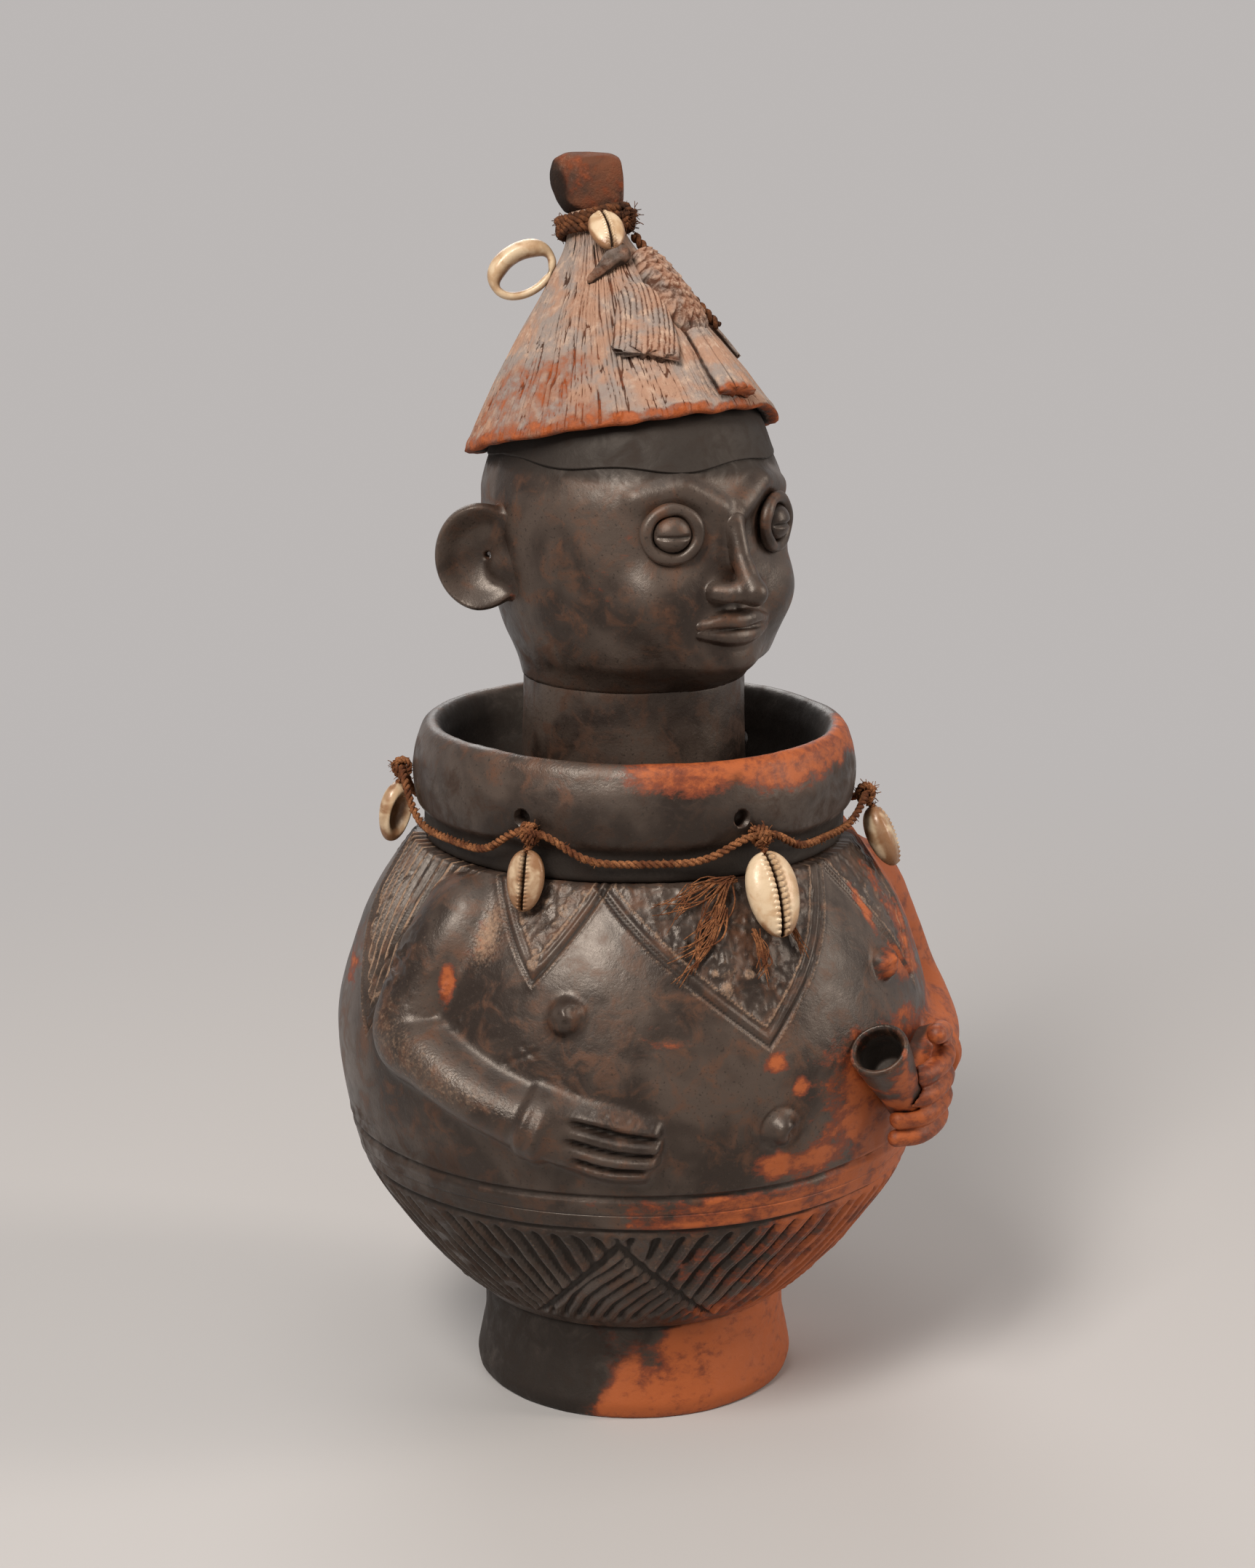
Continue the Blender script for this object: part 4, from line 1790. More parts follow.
def make_cowries():
    for i, shell in enumerate(SHELLS):
        hinge, turn = hinge_basis(i)
        points, paint = cowrie_points(shell["length"], opened=1.0 if i == 0 else 0.0)
        points = points @ turn_z(shell["turn"] * DEGREE).T + np.array([0, 0, -SHELL_DROP])
        if i != 2:
            paint["tan"] = np.clip(paint["tan"] + (0.65 if i == 1 else 0.5 if i == 3 else 0.25), 0, 1)
        body = skin_mesh("shell_body", points @ turn.T + hinge, paint)
        thread_path = np.linspace([0, 0, -1.6], [0, 0, -SHELL_DROP - 1.2], 8)
        loop = np.linspace(0, 1, 24)
        wrap = np.stack(
            [0.75 * np.sin(TURN * loop * 2), 0.75 * np.cos(TURN * loop * 2), -1.6 - 3.4 * loop], -1
        )
        threads = []
        for path in (thread_path, wrap):
            threads += cord_meshes(path @ turn.T + hinge, 0.3, 1.8, 14, 1.5, seed=50 + i)
        thread = join_meshes(f"shell_thread_{i + 1}", threads)
        body.name = f"money_cowrie_{i + 1}"
        finish_piece(body, shell_gloss, f"cowrie_{i + 1}", f"cowrie_{i + 1}")
        finish_piece(thread, plant_fibre, f"cowrie_{i + 1}")


make_cord()
make_knots()
make_tassel()
make_cowries()


# Head stopper
def make_neck():
    seat = SHOULDER_HEIGHT + 0.3
    corners = [
        (33.5, seat - 12), (37.2, seat - 12), (38, seat - 10), (38, seat), (45.3, seat + 0.1),
        (45.3, seat + 4), (36.2, seat + 8.5), (32, seat + 13), (30.4, seat + 20),
        (29.9, NECK_TOP - 4), (NECK_RADIUS - 0.2, NECK_TOP + 1.2), (NECK_RADIUS - 2, NECK_TOP + 3),
        (24.5, NECK_TOP), (24.5, seat + 12.5), (33.5, seat),
    ]
    azimuth = azimuths_round(300)
    rows, spots = profile_rows(round_profile(corners, 1.0), azimuth, 0.3, 12, 71)
    cloud = fractal(spots, 12, 3, 73)
    paint = {
        "bare": 0.25 * ramp(cloud, 0.1, 0.6),
        "dust": 0.1 * ramp(cloud, 0.2, 0.7),
        "soot": 0.4 + 0.4 * ramp(-spots[..., 2], -180, -160),
    }
    mesh = skin_mesh("neck_clay", in_head(rows), paint, wrap_rows=True)
    finish_piece(mesh, smoked_clay, "head", "neck_stopper")


FACE_THIRD = (HAIR_LINE + 4 - CHIN_HEIGHT) / 3
EYE_HEIGHT = CHIN_HEIGHT + 0.47 * HEAD_HEIGHT
NOSE_BASE = CHIN_HEIGHT + FACE_THIRD
BROW = CHIN_HEIGHT + 2 * FACE_THIRD
MOUTH = CHIN_HEIGHT + 0.66 * FACE_THIRD
EYE_RADIUS, EYE_TUBE = 6.9, 1.7
EYE_AZIMUTH = math.asin(2 * (EYE_RADIUS + EYE_TUBE) / 40.3) / DEGREE


def head_form(points):
    z = points[..., 2]
    levels = z[0, 0, :] if z.ndim == 3 else z
    a, b, forward = head_width(levels), head_depth(levels), head_forward(levels)
    q = np.hypot(points[..., 0] / a, (points[..., 1] + forward) / b)
    slope = np.gradient(a, levels) if z.ndim == 3 else 0
    return (q - 1) * np.minimum(a, b) / np.hypot(1, slope)


def eye_place(side):
    place = on_head(side * EYE_AZIMUTH, EYE_HEIGHT, 0.4)
    out = unit(on_head(side * EYE_AZIMUTH, EYE_HEIGHT, 1.4) - place)
    return place, out


def nose_form(points):
    rows = [
        on_head(0, BROW + 1, 0.5),
        on_head(0, BROW - 7, 2.6),
        on_head(0, BROW - 13, 5.6),
        on_head(0, NOSE_BASE + 3.4, 7.6),
    ]
    bridge = chain(points, rows, [2.4, 2.5, 3.0, 3.6])
    for side in (-1, 1):
        wing_root = on_head(side * 5, NOSE_BASE + 3, 3.6)
        wing = rod(points, wing_root, on_head(side * 9.5, NOSE_BASE + 3.2, 1.6), 3.0, 2.6)
        bridge = blend_min(bridge, wing, 2.4)
    for side in (-1, 1):
        hole = egg(points, on_head(side * 5.4, NOSE_BASE - 0.4, 4.2), (1.5, 2.2, 1.9))
        bridge = blend_max(bridge, -hole, 0.8)
    return bridge


def lip_form(points, side):
    angles = np.linspace(-17, 17, 13)
    ease = np.cos(angles / 17 * math.pi / 2)
    bow = 0.5 * np.cos(angles / 17 * math.pi * 2) * (1 if side > 0 else 0)
    z = MOUTH + side * (1.1 + 1.15 * ease) - bow * 0.6 * ease
    rows = on_head(angles, z, 0.4 + 1.1 * ease)
    return chain(points, rows, 0.9 + 1.35 * ease)


def ear_frame(side):
    place = on_head(side * 103, CHIN_HEIGHT + 0.35 * HEAD_HEIGHT, 3)
    return place, turn_z(side * 50 * DEGREE)


def ear_form(points, side):
    """A cupped ear: a rolled rim, an inner fold, a hollow and a pierced hole."""
    place, turn = ear_frame(side)
    local = (points - place) @ turn
    local = local * np.array([side, 1, 1])
    flat = np.stack([local[..., 0] / 0.88, local[..., 2]], -1)
    radius = np.linalg.norm(flat, axis=-1)
    radius = radius * (1 - 0.05 * np.sin(np.arctan2(flat[..., 1], flat[..., 0])))
    depth = -local[..., 1]
    outer = ramp(local[..., 0], -10, 3)
    dish = (1.5 + 4.2 * outer) * (np.minimum(radius, 13.5) / 13) ** 1.8 - 2.0
    plate = np.maximum(np.abs(depth - dish) * 0.85 - 1.35, radius - 12.4)
    rim = np.hypot(radius - 12.2, depth - dish) - (0.8 + 1.1 * outer)
    shape = blend_min(plate, rim, 3.2)
    knob = egg(local, (-4.5, -0.2, -1.5), (3.2, 2.6, 3.6))
    shape = blend_min(shape, knob, 3)
    root = egg(local, (-10, 1.5, 0), (5, 4, 8.5))
    shape = blend_min(shape, root, 3.5)
    hole = np.hypot(local[..., 0] + 0.6, local[..., 2] - 0.5) - 1.0
    return blend_max(shape, -hole, 0.6)


def face_total(points, head):
    """The head with its modelled face, all run together with soft fillets."""
    total = head
    for side in (-1, 1):
        cheek = egg(points, on_head(side * 31, CHIN_HEIGHT + 20, -7), (11, 9, 10))
        total = blend_min(total, cheek, 6)
        brow = chain(
            points,
            [
                on_head(side * 5, BROW + 5, -0.6),
                on_head(side * 20, BROW + 10.5, -0.4),
                on_head(side * 38, BROW + 8, -1.2),
            ],
            [2.2, 2.4, 1.8],
        )
        total = blend_min(total, brow, 4)
        socket = egg(points, on_head(side * EYE_AZIMUTH, EYE_HEIGHT, 6.5), (10, 7.5, 9))
        total = blend_max(total, -socket, 5)
    chin = egg(points, on_head(0, CHIN_HEIGHT + 4, -6), (10, 9, 7))
    total = blend_min(total, chin, 6)
    total = blend_min(total, nose_form(points), 2.6)
    philtrum = rod(points, on_head(0, MOUTH + 4.4, 1.1), on_head(0, NOSE_BASE - 1, 1.2), 0.9, 1.1)
    total = blend_max(total, -philtrum, 1.6)
    for side in (1, -1):
        total = blend_min(total, lip_form(points, side), 1.4)
    seam = chain(points, on_head(np.linspace(-17, 17, 9), MOUTH, 2.2), np.full(9, 0.55))
    return blend_max(total, -seam, 0.8)


def face_paint(spots):
    """Smoke, rubbed clay and soot over the head, from place alone."""
    cloud = fractal(spots, 16, 3, 91)
    fleck = noise(spots, 5, 92)
    angle = np.arctan2(spots[..., 0], -spots[..., 1]) / DEGREE
    z = spots[..., 2]
    jaw = ramp(-z + 4 * cloud, -222, -210) * ramp(-np.abs(angle), -120, -60)
    return {
        "bare": 0.14 * jaw + 0.26 * ramp(cloud, 0.2, 0.7) + 0.05 * fleck,
        "dust": 0.1 * ramp(cloud, 0.0, 0.6),
        "soot": 0.42 * ramp(-z, -222, -205) + 0.75 * ramp(z, 252, 259),
    }


def make_head():
    step = 0.75
    low, high = (-44, -50, 197.5), (44, 46, 290)
    points = field_grid(low, high, step)
    head = head_form(points)
    head = np.maximum(head, NECK_TOP - points[..., 2])
    crown = egg(points, (0, 3.6, 258), (36, 38, 28))
    head = np.where(points[..., 2] > 276, np.maximum(head, crown), head)
    total = face_total(points, head)
    spots, quads = skin_of(total, low, step)
    rough = 0.16 * fractal(spots, 12, 3, 95) + 0.05 * fractal(spots, 3, 2, 97)
    spots = spots + unit(spots * np.array([1, 1, 0])) * rough[:, None]
    mesh = build_mesh("head_clay", in_head(spots), [quads], face_paint(spots))
    finish_piece(mesh, smoked_clay, "head", "head_shell")


def face_piece(name, low, high, step, form, node, reach=0.9):
    """One applied piece of the face: the shared skin, kept to within reach of its own form."""
    points = field_grid(low, high, step)
    head = head_form(points)
    own = form(points)
    total = np.maximum(face_total(points, head) - 0.05, own - reach)
    total = np.maximum(total, -(head + 2.2))
    spots, quads = skin_of(total, low, step)
    mesh = build_mesh(name, in_head(spots), [quads], face_paint(spots))
    finish_piece(mesh, smoked_clay, "head", node)


def make_eyes():
    for side, word in ((-1, "right"), (1, "left")):
        place, out = eye_place(side)
        azimuth = angles_round(130)
        across = unit(np.cross([0, 0, 1], out))
        up = np.cross(out, across)
        tube_angle = angles_round(28)
        wave = 0.12 * np.sin(azimuth * 5 + side)
        radius = EYE_RADIUS + (EYE_TUBE + wave)[:, None] * np.cos(tube_angle)
        lift = (EYE_TUBE + wave)[:, None] * np.sin(tube_angle) * 0.95 + 0.2
        centre = place + (
            across * (radius * np.cos(azimuth)[:, None])[..., None]
            + up * (radius * np.sin(azimuth)[:, None])[..., None] * 0.94
            + out * lift[..., None]
        )
        rough = 0.14 * fractal(centre, 5, 2, 101)
        centre = centre + out * rough[..., None]
        mesh = skin_mesh(f"{word}_eye_coil", in_head(centre), face_paint(centre), wrap_rows=True)
        finish_piece(mesh, smoked_clay, "head", f"{word}_eye_ring")
        ball_radius = EYE_RADIUS - EYE_TUBE - 0.25
        circle = across * np.cos(azimuth)[:, None] + 0.94 * up * np.sin(azimuth)[:, None]
        polar = np.linspace(0.02, math.pi - 0.02, 40)[:, None, None]
        rows = place + ball_radius * (np.sin(polar) * circle + 0.72 * np.cos(polar) * out)
        slit = np.abs((rows - place) @ up + 0.5)
        front = ramp((rows - place) @ out, 1.0, 2.4)
        rows = rows - out * (0.85 * bell(slit, 0.62) * front)[..., None]
        paint = face_paint(rows)
        paint["soot"] = paint["soot"] + 0.7 * bell(slit, 0.6) * front
        mesh = skin_mesh(f"{word}_eye_ball", in_head(rows), paint)
        finish_piece(mesh, smoked_clay, "head", f"{word}_eyeball")


def make_ears():
    for side, word in ((-1, "right"), (1, "left")):
        place, turn = ear_frame(side)
        low, high = place - 17, place + 17
        step = 0.45
        points = field_grid(low, high, step)
        ear = ear_form(points, side)
        head = head_form(points)
        total = blend_min(ear, head + 0.4, 2.6)
        total = np.maximum(total, ear - 2.2)
        total = np.maximum(total, -(head + 2.6))
        spots, quads = skin_of(total, low, step)
        cloud = fractal(spots, 9, 3, 111)
        local = (spots - place) @ turn
        radius = np.hypot(local[:, 0], local[:, 2])
        hollow = ramp(-radius, -9, -4) * ramp(-local[:, 1], -2.5, 0)
        paint = {
            "bare": 0.3 * ramp(cloud, 0, 0.6),
            "dust": 0.25 * ramp(radius, 10, 12.5) * ramp(cloud, -0.3, 0.5),
            "soot": 0.5 * hollow,
        }
        mesh = build_mesh(f"{word}_ear_clay", in_head(spots), [quads], paint)
        finish_piece(mesh, smoked_clay, "head", f"{word}_ear")


def make_hair():
    azimuth = azimuths_round(360)
    t = np.linspace(0, 1, 60)
    top = CHIN_HEIGHT + 0.96 * HEAD_HEIGHT
    wave = 1.3 * np.sin(azimuth * DEGREE * 7 + 0.6) + 0.8 * np.sin(azimuth * DEGREE * 3)
    rows = []
    for share in t:
        base = HAIR_LINE + 0.6 * wave * (1 - share) ** 2
        height = base + (top - base) * share
        crown = float(smooth((HAIR_LINE + (top - HAIR_LINE) * share - CHIN_HEIGHT) / HEAD_HEIGHT))
        rim = float(smooth(share / 0.4))
        thick = 0.45 + 1.2 * rim
        spot = on_head(azimuth, height, thick)
        spot[:, 2] += thick * crown * 0.8
        rows.append(spot)
    rows = np.array(rows)
    tip = np.array([0, 4.4, CHIN_HEIGHT + HEAD_HEIGHT + 1.8])
    over = [rows[-1] * (1 - s) + tip * s for s in (0.35, 0.7, 0.92)]
    for k, row in enumerate(over):
        row[:, 2] = rows[-1][:, 2] + (tip[2] - rows[-1][:, 2]) * (0.55, 0.86, 0.98)[k]
    under = [on_head(azimuth, height, 0.1) for height in (top, 266, HAIR_LINE + 1)]
    outer = np.concatenate([rows, np.array(over)])
    inner_top = np.array([0, 4.4, CHIN_HEIGHT + HEAD_HEIGHT - 0.6])
    inner = [under[0] * 0.3 + inner_top * 0.7, under[0], under[1], under[2]]
    inner[0][:, 2] = CHIN_HEIGHT + HEAD_HEIGHT - 1.4
    everything = np.concatenate([np.array(inner), outer])
    dust = np.zeros(everything.shape[:2])
    dust[-3:] = 0.025
    paint = {"bare": 0 * dust, "dust": dust, "soot": 0.95 + 0 * dust}
    mesh = skin_mesh("hair_cap_clay", in_head(everything), paint)
    finish_piece(mesh, smoked_clay, "head", "hair_cap")


make_neck()
make_head()
nose_middle = on_head(0, 233, 3)
face_piece("nose_clay", nose_middle - [13, 12, 16], nose_middle + [13, 10, 17], 0.5, nose_form, "nose")
lip_middle = on_head(0, MOUTH, 1)
for lip_side, lip_word in ((1, "upper"), (-1, "lower")):
    face_piece(
        f"{lip_word}_lip_clay",
        lip_middle - [15, 6, 6],
        lip_middle + [15, 8, 6],
        0.4,
        lambda points, side=lip_side: lip_form(points, side),
        f"{lip_word}_lip",
        reach=0.5,
    )
make_eyes()
make_ears()
make_hair()


# Hat
def hat_texture(azimuth, height):
    """Radial strokes combed into the cone, wavy and uneven, and their share of ridge."""
    spots = hat_surface(azimuth, height)
    sway = 3.2 * noise(spots, 22, 121) + 0.7 * noise(spots, 8, 122)
    angle = (azimuth + sway * (18 / np.maximum(hat_radius(height), 12))) * DEGREE
    drum = np.stack([40 * np.cos(angle), 40 * np.sin(angle), 0.1 * height], -1)
    thin = np.minimum(np.abs(noise(drum, 1.3, 123)), np.abs(noise(drum, 0.9, 124)) + 0.06)
    strokes = 1.7 * ramp(thin, 0.0, 0.2) - 1 + 0.3 * noise(drum, 2.6, 125)
    calm = np.exp(-(((azimuth - 38) / 26) ** 2) - ((height - 9) / 9) ** 2)
    return spots, strokes * (1 - 0.7 * calm)


def make_hat():
    azimuth = azimuths_round(960)
    brim_heights = np.linspace(1.2, 6, 12, endpoint=False)
    heights = np.concatenate([brim_heights, np.linspace(6, STEM_TOP - 0.4, 84)])
    azimuths, rows = np.meshgrid(azimuth, heights)
    spots, strokes = hat_texture(azimuths, rows)
    fade = ramp(rows, 1.2, 3.2) * (1 - ramp(rows, 50, 56))
    lip = 0.45 * bell(rows - 2.0, 1.5) * (1 + 0.6 * noise(spots, 5, 129))
    lift = fade * 0.42 * strokes + 0.25 * fractal(spots, 12, 2, 126) + lip
    outer = hat_surface(azimuths, rows, lift)
    ridge = ramp(strokes, -0.95, 0.0)
    edge = 1 - ramp(rows + 1.1 * noise(spots, 3, 130), 2.0, 4.4)
    scallop = 0.8 * noise(spots[0], 14, 128) + 0.7 * noise(spots[0], 6, 127)
    droop = 3.0 * bell(azimuth - 64, 24) - 0.7 * bell(azimuth - 12, 22)
    hang = scallop - droop
    rim_places = [
        (BRIM_RADIUS - 0.1, 0.55), (BRIM_RADIUS - 0.9, 0.05), (BRIM_RADIUS - 2.4, 0),
        (BRIM_RADIUS - 4.2, 0.5),
    ]
    inner_heights = np.array([3, 8, 14, 22, 30, 36, 40])
    slope = hat_radius(inner_heights + 0.5) - hat_radius(inner_heights - 0.5)
    inner_radius = hat_radius(inner_heights) - HAT_WALL * np.hypot(1, slope)
    places = rim_places + [(max(r, 3.0), z) for r, z in zip(inner_radius, inner_heights)]
    under = inner_rows(azimuth, places)
    under[:7, :, 2] += np.array([1, 1, 1, 0.9, 0.7, 0.35, 0.1])[:, None] * hang
    outer[..., 2] += (1 - ramp(rows, 1, 13)) * hang
    everything = np.concatenate([under[::-1], outer])
    lips = np.zeros(under.shape[:2])
    lips[:3] = 0.7
    cloud = fractal(spots, 13, 3, 135)
    front = ramp(azimuths, -150, -110) * (1 - ramp(azimuths, 0, 24))
    ember = ramp(azimuths + 30 * cloud, -140, -110) * (1 - ramp(azimuths + 30 * cloud, -62, -20))
    ember = ember * (1 - ramp(rows + 9 * cloud, 16, 30))
    warm = edge * (0.42 + 0.3 * front) + (1 - edge) * (0.5 * ember + 0.14 * (1 - ridge))
    calm_edge = bell(azimuths - 42, 20) * edge
    warm = warm * (1 - 0.7 * calm_edge)
    dark = 0.25 * ramp(-strokes, 0.55, 1.0) + 0.32 * ramp(cloud, 0.0, 0.5)
    dark = dark * (1 - edge) + 0.3 * calm_edge
    dark = np.maximum(dark, 0.7 * ramp(rows + 7 * cloud, 35, 50) * ramp(0.5 - strokes, 0, 0.6))
    paint = {
        "ridge": np.concatenate([0.4 + 0 * lips[::-1], ridge * (1 - 0.3 * edge)]),
        "bare": np.concatenate([lips[::-1], warm]),
        "soot": np.concatenate([(0.9 - lips)[::-1], dark]),
    }
    mesh = skin_mesh("hat_cone_clay", in_hat(everything), paint)
    finish_piece(mesh, hat_clay, "hat", "hat_cone")


def make_knob():
    half = KNOB_HEIGHT / 2
    corners = [
        (0.2, -half), (KNOB_RADIUS * 0.6, -half), (KNOB_RADIUS * 0.86, -half * 0.62),
        (KNOB_RADIUS * 0.98, -half * 0.1), (KNOB_RADIUS, half * 0.3),
        (KNOB_RADIUS * 0.9, half * 0.72), (KNOB_RADIUS * 0.6, half * 0.94), (0.2, half),
    ]
    azimuth = azimuths_round(130)
    rows, spots = profile_rows(open_profile(corners, 4), azimuth, 0.6, 11, 131)
    for facing, reach in ((-22, 6.6), (-95, 8.2), (60, 8.6), (150, 8.4)):
        flat = unit(np.array([math.sin(facing * DEGREE), -math.cos(facing * DEGREE), 0.12]))
        over = rows @ flat - reach
        rows = rows - flat * (0.62 * np.maximum(over, 0))[..., None]
    cloud = fractal(spots, 6, 3, 133)
    leftward = -spots[..., 0] * math.cos(38 * DEGREE) + spots[..., 1] * math.sin(38 * DEGREE)
    paint = {
        "ridge": 0.12 + 0.3 * cloud,
        "bare": 0.3 + 0.15 * ramp(cloud, -0.2, 0.5),
        "soot": 0.8 * ramp(leftward - 0.4 * spots[..., 2], 3, 9) + 0.4 * ramp(-spots[..., 2], 3, 7),
    }
    rows = rows @ turn_x(KNOB_LEAN).T + np.array([0, 0, STEM_TOP + half - 1.2])
    mesh = skin_mesh("finial_knob_clay", in_hat(rows), paint)
    finish_piece(mesh, hat_clay, "hat", "finial_knob")


def relief_patch(stations, texture, seed, step=0.32, round_start=True, round_end=True, ragged=0.0):
    """A piece laid on the hat: a low limb over its own grid, with a texture cut into it."""
    rows = catmull(stations, 80)
    centre = hat_surface(rows[:, 0], rows[:, 1])
    length = path_length(centre)
    count = int(length / step)
    rows = catmull(stations, count)
    centre = hat_surface(rows[:, 0], rows[:, 1])
    along = unit(np.gradient(centre, axis=0))
    out = unit(hat_surface(rows[:, 0], rows[:, 1], 1.0) - centre)
    side = unit(np.cross(along, out))
    travel = np.linspace(0, length, count)
    shrink = np.ones(count)
    if round_start:
        shrink *= np.sqrt(1 - (1 - np.clip(travel / (rows[0, 3] * 1.3), 0, 1)) ** 2)
    if round_end:
        shrink *= np.sqrt(1 - (1 - np.clip((length - travel) / (rows[-1, 3] * 1.3), 0, 1)) ** 2)
    shrink = np.maximum(shrink, 0.04)
    columns = int(2 * rows[:, 3].max() / step * 1.5) + 24
    angle = angles_round(columns)
    lift = rows[:, 2]
    half = (rows[:, 3] * shrink)[:, None]
    rise = (rows[:, 4] * shrink)[:, None]
    across, up = np.cos(angle)[None, :], np.sin(angle)[None, :]
    face = ramp(up, 0.0, 0.35)
    extra, shade, ridge = texture(travel[:, None] / length, across, half, length)
    dome = np.where(up > 0, np.abs(up) ** 0.8, -0.55 * np.abs(up))
    up_amount = rise * dome + extra * face * np.sqrt(shrink)[:, None]
    points = (
        centre[:, None]
        + (out * lift[:, None])[:, None]
        + side[:, None] * (half * across)[..., None]
        + out[:, None] * up_amount[..., None]
    )
    cloud = fractal(points, 6, 3, seed)
    points = points + out[:, None] * (0.15 * cloud * face)[..., None]
    torn = np.sin(across * half * 1.15 + 0.6) + 0.6 * np.sin(across * half * 2.5)
    end = ramp(travel / length, 0.7, 1)[:, None]
    points = points + along[:, None] * (ragged * torn * end)[..., None]
    paint = {
        "ridge": np.clip(ridge + 0.2 * cloud, 0, 1),
        "bare": 0.18 * ramp(cloud, 0.1, 0.6),
        "soot": np.clip(shade * face + 0.5 * (1 - face) + 0 * cloud, 0, 1),
    }
    return points, paint


def finish_relief(node, made, worn=0, worn_from=1):
    """Puts a piece on the hat. Its clay is bare from a share of its length on."""
    points, paint = made
    end = ramp(np.arange(len(points)) / len(points), worn_from, 1.0)[:, None] if worn else 0
    paint["bare"] = np.maximum(paint["bare"], worn * end)
    mesh = skin_mesh(node + "_clay", in_hat(points), paint)
    finish_piece(mesh, hat_clay, "hat", node)


def scale_marks(t, across, half, length):
    """Small gouged crescents in uneven rows."""
    row = t * length / 3.0 + 0.3 * np.sin(across * 2.3 + t * 9)
    column = across * half / 2.7 + 0.5 * (np.floor(row) % 2) + 0.25 * np.sin(row * 1.7)
    dx, dy = column % 1 - 0.5, row % 1 - 0.5
    bow = dy - 0.3 * np.cos(dx * 5) + 0.1
    size = 0.8 + 0.25 * np.sin(np.floor(row) * 2.1 + np.floor(column) * 1.3)
    mark = size * np.exp(-((dx / 0.3) ** 2) - (bow / 0.15) ** 2)
    lip = np.exp(-((dx / 0.36) ** 2) - ((bow + 0.3) / 0.17) ** 2)
    return -0.85 * mark + 0.4 * lip, 0.6 * mark, 0.5 + 0.35 * lip - 0.4 * mark


def feather_lines(t, across, half, length):
    """Long grooves side by side."""
    sway = 1.4 * np.sin(t * 4) + 0.7 * np.sin(across * half * 1.1)
    lines = np.sin(across * half * TURN / 1.45 + sway)
    depth = ramp(-lines, 0.3, 1.0)
    return -0.45 * depth + 0.14 * ramp(lines, 0.3, 1), 0.4 * depth, 0.75 - 0.45 * depth


def tail_blades(t, across, half, length):
    """Three blades with finer strokes along them."""
    blade = np.abs(((across * 0.5 + 0.5) * 3) % 1 - 0.5) * 2
    gap = ramp(blade, 0.72, 0.98)
    fine = np.sin(across * half * TURN / 1.3)
    return -1.4 * gap + 0.08 * fine, 0.9 * gap, 0.8 - 0.5 * gap + 0.1 * fine


def plain_marks(t, across, half, length):
    return np.sin(t * length * TURN / 1.8) * 0.1, 0.15, 0.5


def make_bird():
    cone = HAT_CONE_HEIGHT
    body = [
        (BIRD_AZIMUTH + 5, cone * 0.885, 0, 3.3, 3.8), (BIRD_AZIMUTH + 1, cone * 0.77, 0, 5.6, 5.2),
        (BIRD_AZIMUTH - 4, cone * 0.58, 0, 6.6, 5.2), (BIRD_AZIMUTH - 7, cone * 0.38, 0, 5.6, 3.9),
    ]
    finish_relief("bird_body", relief_patch(body, scale_marks, 141))
    head = [
        (BIRD_AZIMUTH - 22, cone * 0.856, 1, 2.6, 3.5),
        (BIRD_AZIMUTH - 40, cone * 0.846, 1.4, 2.7, 4.05),
        (BIRD_AZIMUTH - 56, cone * 0.798, 1, 1.7, 2.4),
        (BIRD_AZIMUTH - 72, cone * 0.74, 0.5, 0.9, 1.6),
    ]
    points, paint = relief_patch(head, plain_marks, 143)
    paint["soot"] = np.clip(paint["soot"] + 0.35, 0, 1)
    finish_relief("bird_head", (points, paint))
    for word, top, bottom in (("right", -6, -22), ("left", 68, 80)):
        wing = [
            (top, cone * 0.72, 0, 4.2, 2.0), ((top + bottom) / 2, cone * 0.54, 0.3, 7.4, 2.2),
            (bottom, cone * 0.32, 1.2, 9.2, 2.0),
        ]
        made = relief_patch(wing, feather_lines, 145, round_end=False, ragged=0.9)
        finish_relief(f"bird_{word}_wing", made, 0.4, 0.86)
    tail = [
        (BIRD_AZIMUTH - 7, cone * 0.42, 0.2, 4.2, 2.8),
        (BIRD_AZIMUTH - 10, cone * 0.24, 0.9, 5.6, 3.0),
        (BIRD_AZIMUTH - 12, cone * 0.075, 2.0, 6.6, 3.0),
    ]
    finish_relief("bird_tail", relief_patch(tail, tail_blades, 147, 0.3, False, False, 0.4), 0.8, 0.82)


def make_hat_cord():
    middle = STEM_TOP - 3.6
    radius = float(hat_radius(middle - 3)) + 0.3 + 1.2
    t = np.linspace(0, 1, 150)
    angle = TURN * 3.1 * t + 1.0
    lift = -2.9 + 5.6 * t + 0.5 * np.sin(angle * 1.7)
    coil = at_angle(angle, radius, middle + lift)
    meshes = cord_meshes(in_hat(coil), 0.72, 3.6, 260, 2.6, seed=9)
    for k, start in enumerate((0.45, 1.05)):
        loop = np.linspace(0, 1, 50)
        a = start + 0.16 * np.sin(TURN * loop)
        r = radius + 1.3 + 0.6 * np.cos(TURN * loop)
        z = middle - 0.4 + 2.1 * np.cos(TURN * loop)
        meshes += cord_meshes(in_hat(at_angle(a, r, z)), 0.55, 3, 70, 3.2, seed=12 + k)
    mesh = join_meshes("hat_cord_wound", meshes)
    finish_piece(mesh, dark_fibre, "hat", "hat_cord_wrap")


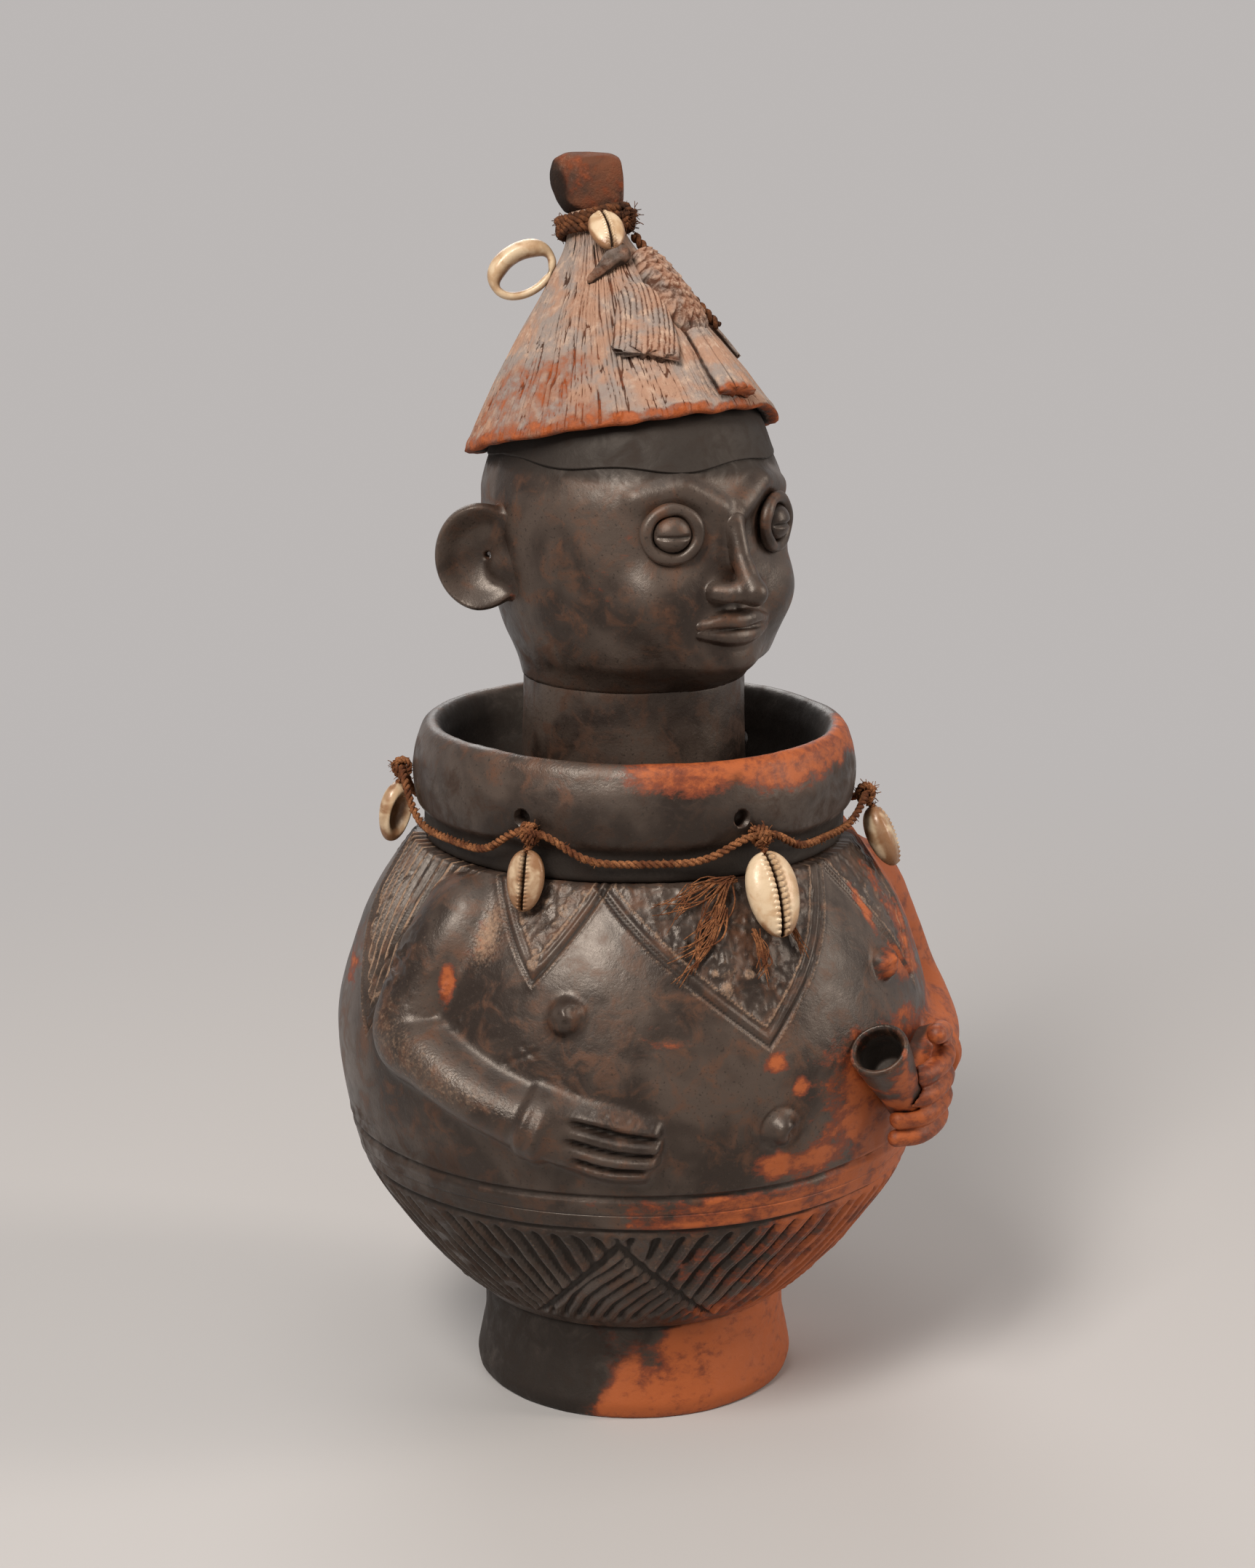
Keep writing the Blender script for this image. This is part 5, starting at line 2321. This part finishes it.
def make_hat_shells():
    length = 13
    points, paint = cowrie_points(length, 90, 130)
    points = (points + np.array([0, 0, length / 2])) * np.array([1.18, 1, 1])
    points = points @ turn_x(-36 * DEGREE).T
    wrap = float(hat_radius(STEM_TOP - 6)) + 3
    points = points + np.array([0, -wrap - length * 0.2, STEM_TOP - 7.2])
    paint["tan"] = np.clip(paint["tan"] + 0.3, 0, 1)
    points = points @ turn_z(-23 * DEGREE).T
    mesh = skin_mesh("hat_cowrie", in_hat(points), paint)
    finish_piece(mesh, shell_gloss, "hat", "hat_front_cowrie")
    angle = angles_round(150)
    spin = angles_round(24)
    major, minor = 8.4, 8.4 * 0.65
    centre = np.stack([major * np.cos(angle), 0 * angle, minor * np.sin(angle)], -1)
    outward = unit(np.stack([minor * np.cos(angle), 0 * angle, major * np.sin(angle)], -1))
    broad = 1.3 + 1.7 * ramp(np.sin(angle), -0.1, 0.9)
    notch = bell(np.abs(((angle - 3.9 + math.pi) % TURN) - math.pi), 0.2)
    broad = broad * (1 - 0.45 * notch)
    rows = (
        centre[:, None]
        + outward[:, None] * (broad[:, None] * np.cos(spin) * 0.85)[..., None]
        + np.array([0, 1, 0]) * (broad[:, None] * np.sin(spin) * 1.15)[..., None]
    )
    rows = rows @ turn_y(24 * DEGREE).T
    start = float(hat_radius(STEM_TOP - 12)) + 0.3
    rows = rows + np.array([start + 10, 0, STEM_TOP - 14.2])
    rows = rows @ turn_z((-121 - 90) * DEGREE).T
    inner = ramp(-np.cos(spin), 0.2, 0.9)[None, :] * np.ones((150, 1))
    paint = {"tan": 0.25 + 0.4 * inner, "soot": 0.5 * notch[:, None] * np.ones(24) + 0.15 * inner}
    mesh = skin_mesh("hat_cut_cowrie", in_hat(rows), paint, wrap_rows=True)
    finish_piece(mesh, shell_gloss, "hat", "hat_ring_cowrie")


make_hat()
make_knob()
make_bird()
make_hat_cord()
make_hat_shells()


# Floor, backdrop and light
BACKGROUND = (0.50, 0.475, 0.465, 1)


def seen_share(tree):
    """1 for rays that look straight at a thing, in a mirror or through glass, and 0 for its light."""
    path = add_node(tree, "ShaderNodeLightPath")
    shares = [path.outputs[f"Is {kind} Ray"] for kind in ("Camera", "Glossy", "Transmission")]
    total = shares[0]
    for share in shares[1:]:
        larger = {"operation": "MAXIMUM"}
        total = add_node(tree, "ShaderNodeMath", larger, i0=total, i1=share).outputs[0]
    return total


def stage_material():
    """A pale floor that keeps the shadow near the vessel and runs into the background further out."""
    material = bpy.data.materials.new("pale_floor")
    material.use_nodes = True
    tree = material.node_tree
    surface = tree.nodes["Principled BSDF"]
    surface.inputs["Base Color"].default_value = (0.47, 0.45, 0.44, 1)
    surface.inputs["Roughness"].default_value = 0.9
    surface.inputs["Specular IOR Level"].default_value = 0.2
    place = add_node(tree, "ShaderNodeTexCoord").outputs["Object"]
    away = add_node(tree, "ShaderNodeVectorMath", {"operation": "LENGTH"}, i0=place).outputs["Value"]
    far = add_node(tree, "ShaderNodeMapRange", EASED, Value=away, From_Min=0.16, From_Max=0.85)
    seen = seen_share(tree)
    share = add_node(tree, "ShaderNodeMath", {"operation": "MULTIPLY"}, i0=far.outputs[0], i1=seen)
    glow = add_node(tree, "ShaderNodeEmission", Color=BACKGROUND).outputs[0]
    both = add_node(tree, "ShaderNodeMixShader", i0=share.outputs[0], i1=surface.outputs[0], i2=glow)
    feed(tree, tree.nodes["Material Output"].inputs["Surface"], both.outputs[0])
    return material


floor_mesh = bpy.data.meshes.new("floor")
SIDE = 6.0
floor_mesh.from_pydata(
    [(-SIDE, -SIDE, 0), (SIDE, -SIDE, 0), (SIDE, SIDE, 0), (-SIDE, SIDE, 0)], [], [(0, 1, 2, 3)]
)
floor_mesh.materials.append(stage_material())
floor = new_object("floor", floor_mesh)


def area_light(name, azimuth, elevation, distance, size, power, tint=(1, 1, 1)):
    data = bpy.data.lights.new(name, "AREA")
    data.shape = "RECTANGLE"
    data.size, data.size_y = size
    data.energy = power
    data.color = tint
    lamp = new_object(name, data)
    a, e = azimuth * DEGREE, elevation * DEGREE
    target = np.array([0, 0, 0.17])
    back = np.array([math.sin(a) * math.cos(e), -math.cos(a) * math.cos(e), math.sin(e)])
    lamp.location = target + back * distance
    lamp.rotation_mode = "QUATERNION"
    lamp.rotation_quaternion = Vector(-back).to_track_quat("-Z", "Y")


area_light("key", -52, 44, 1.5, (0.36, 0.7), 25, (1, 0.96, 0.91))
area_light("side", 58, 22, 1.5, (0.35, 0.9), 11, (1, 0.91, 0.82))
area_light("top", -20, 78, 1.4, (0.8, 0.8), 3)
area_light("back", 165, 35, 1.6, (0.9, 0.9), 9)

world = bpy.data.worlds.new("studio")
bpy.context.scene.world = world
world.use_nodes = True
sky = world.node_tree
dim = (0.145, 0.137, 0.132, 1)
blend = add_node(sky, "ShaderNodeMix", COLOURS, i0=seen_share(sky), i6=dim, i7=BACKGROUND)
feed(sky, sky.nodes["Background"].inputs["Color"], blend.outputs[2])

bpy.context.scene.view_settings.view_transform = "Standard"
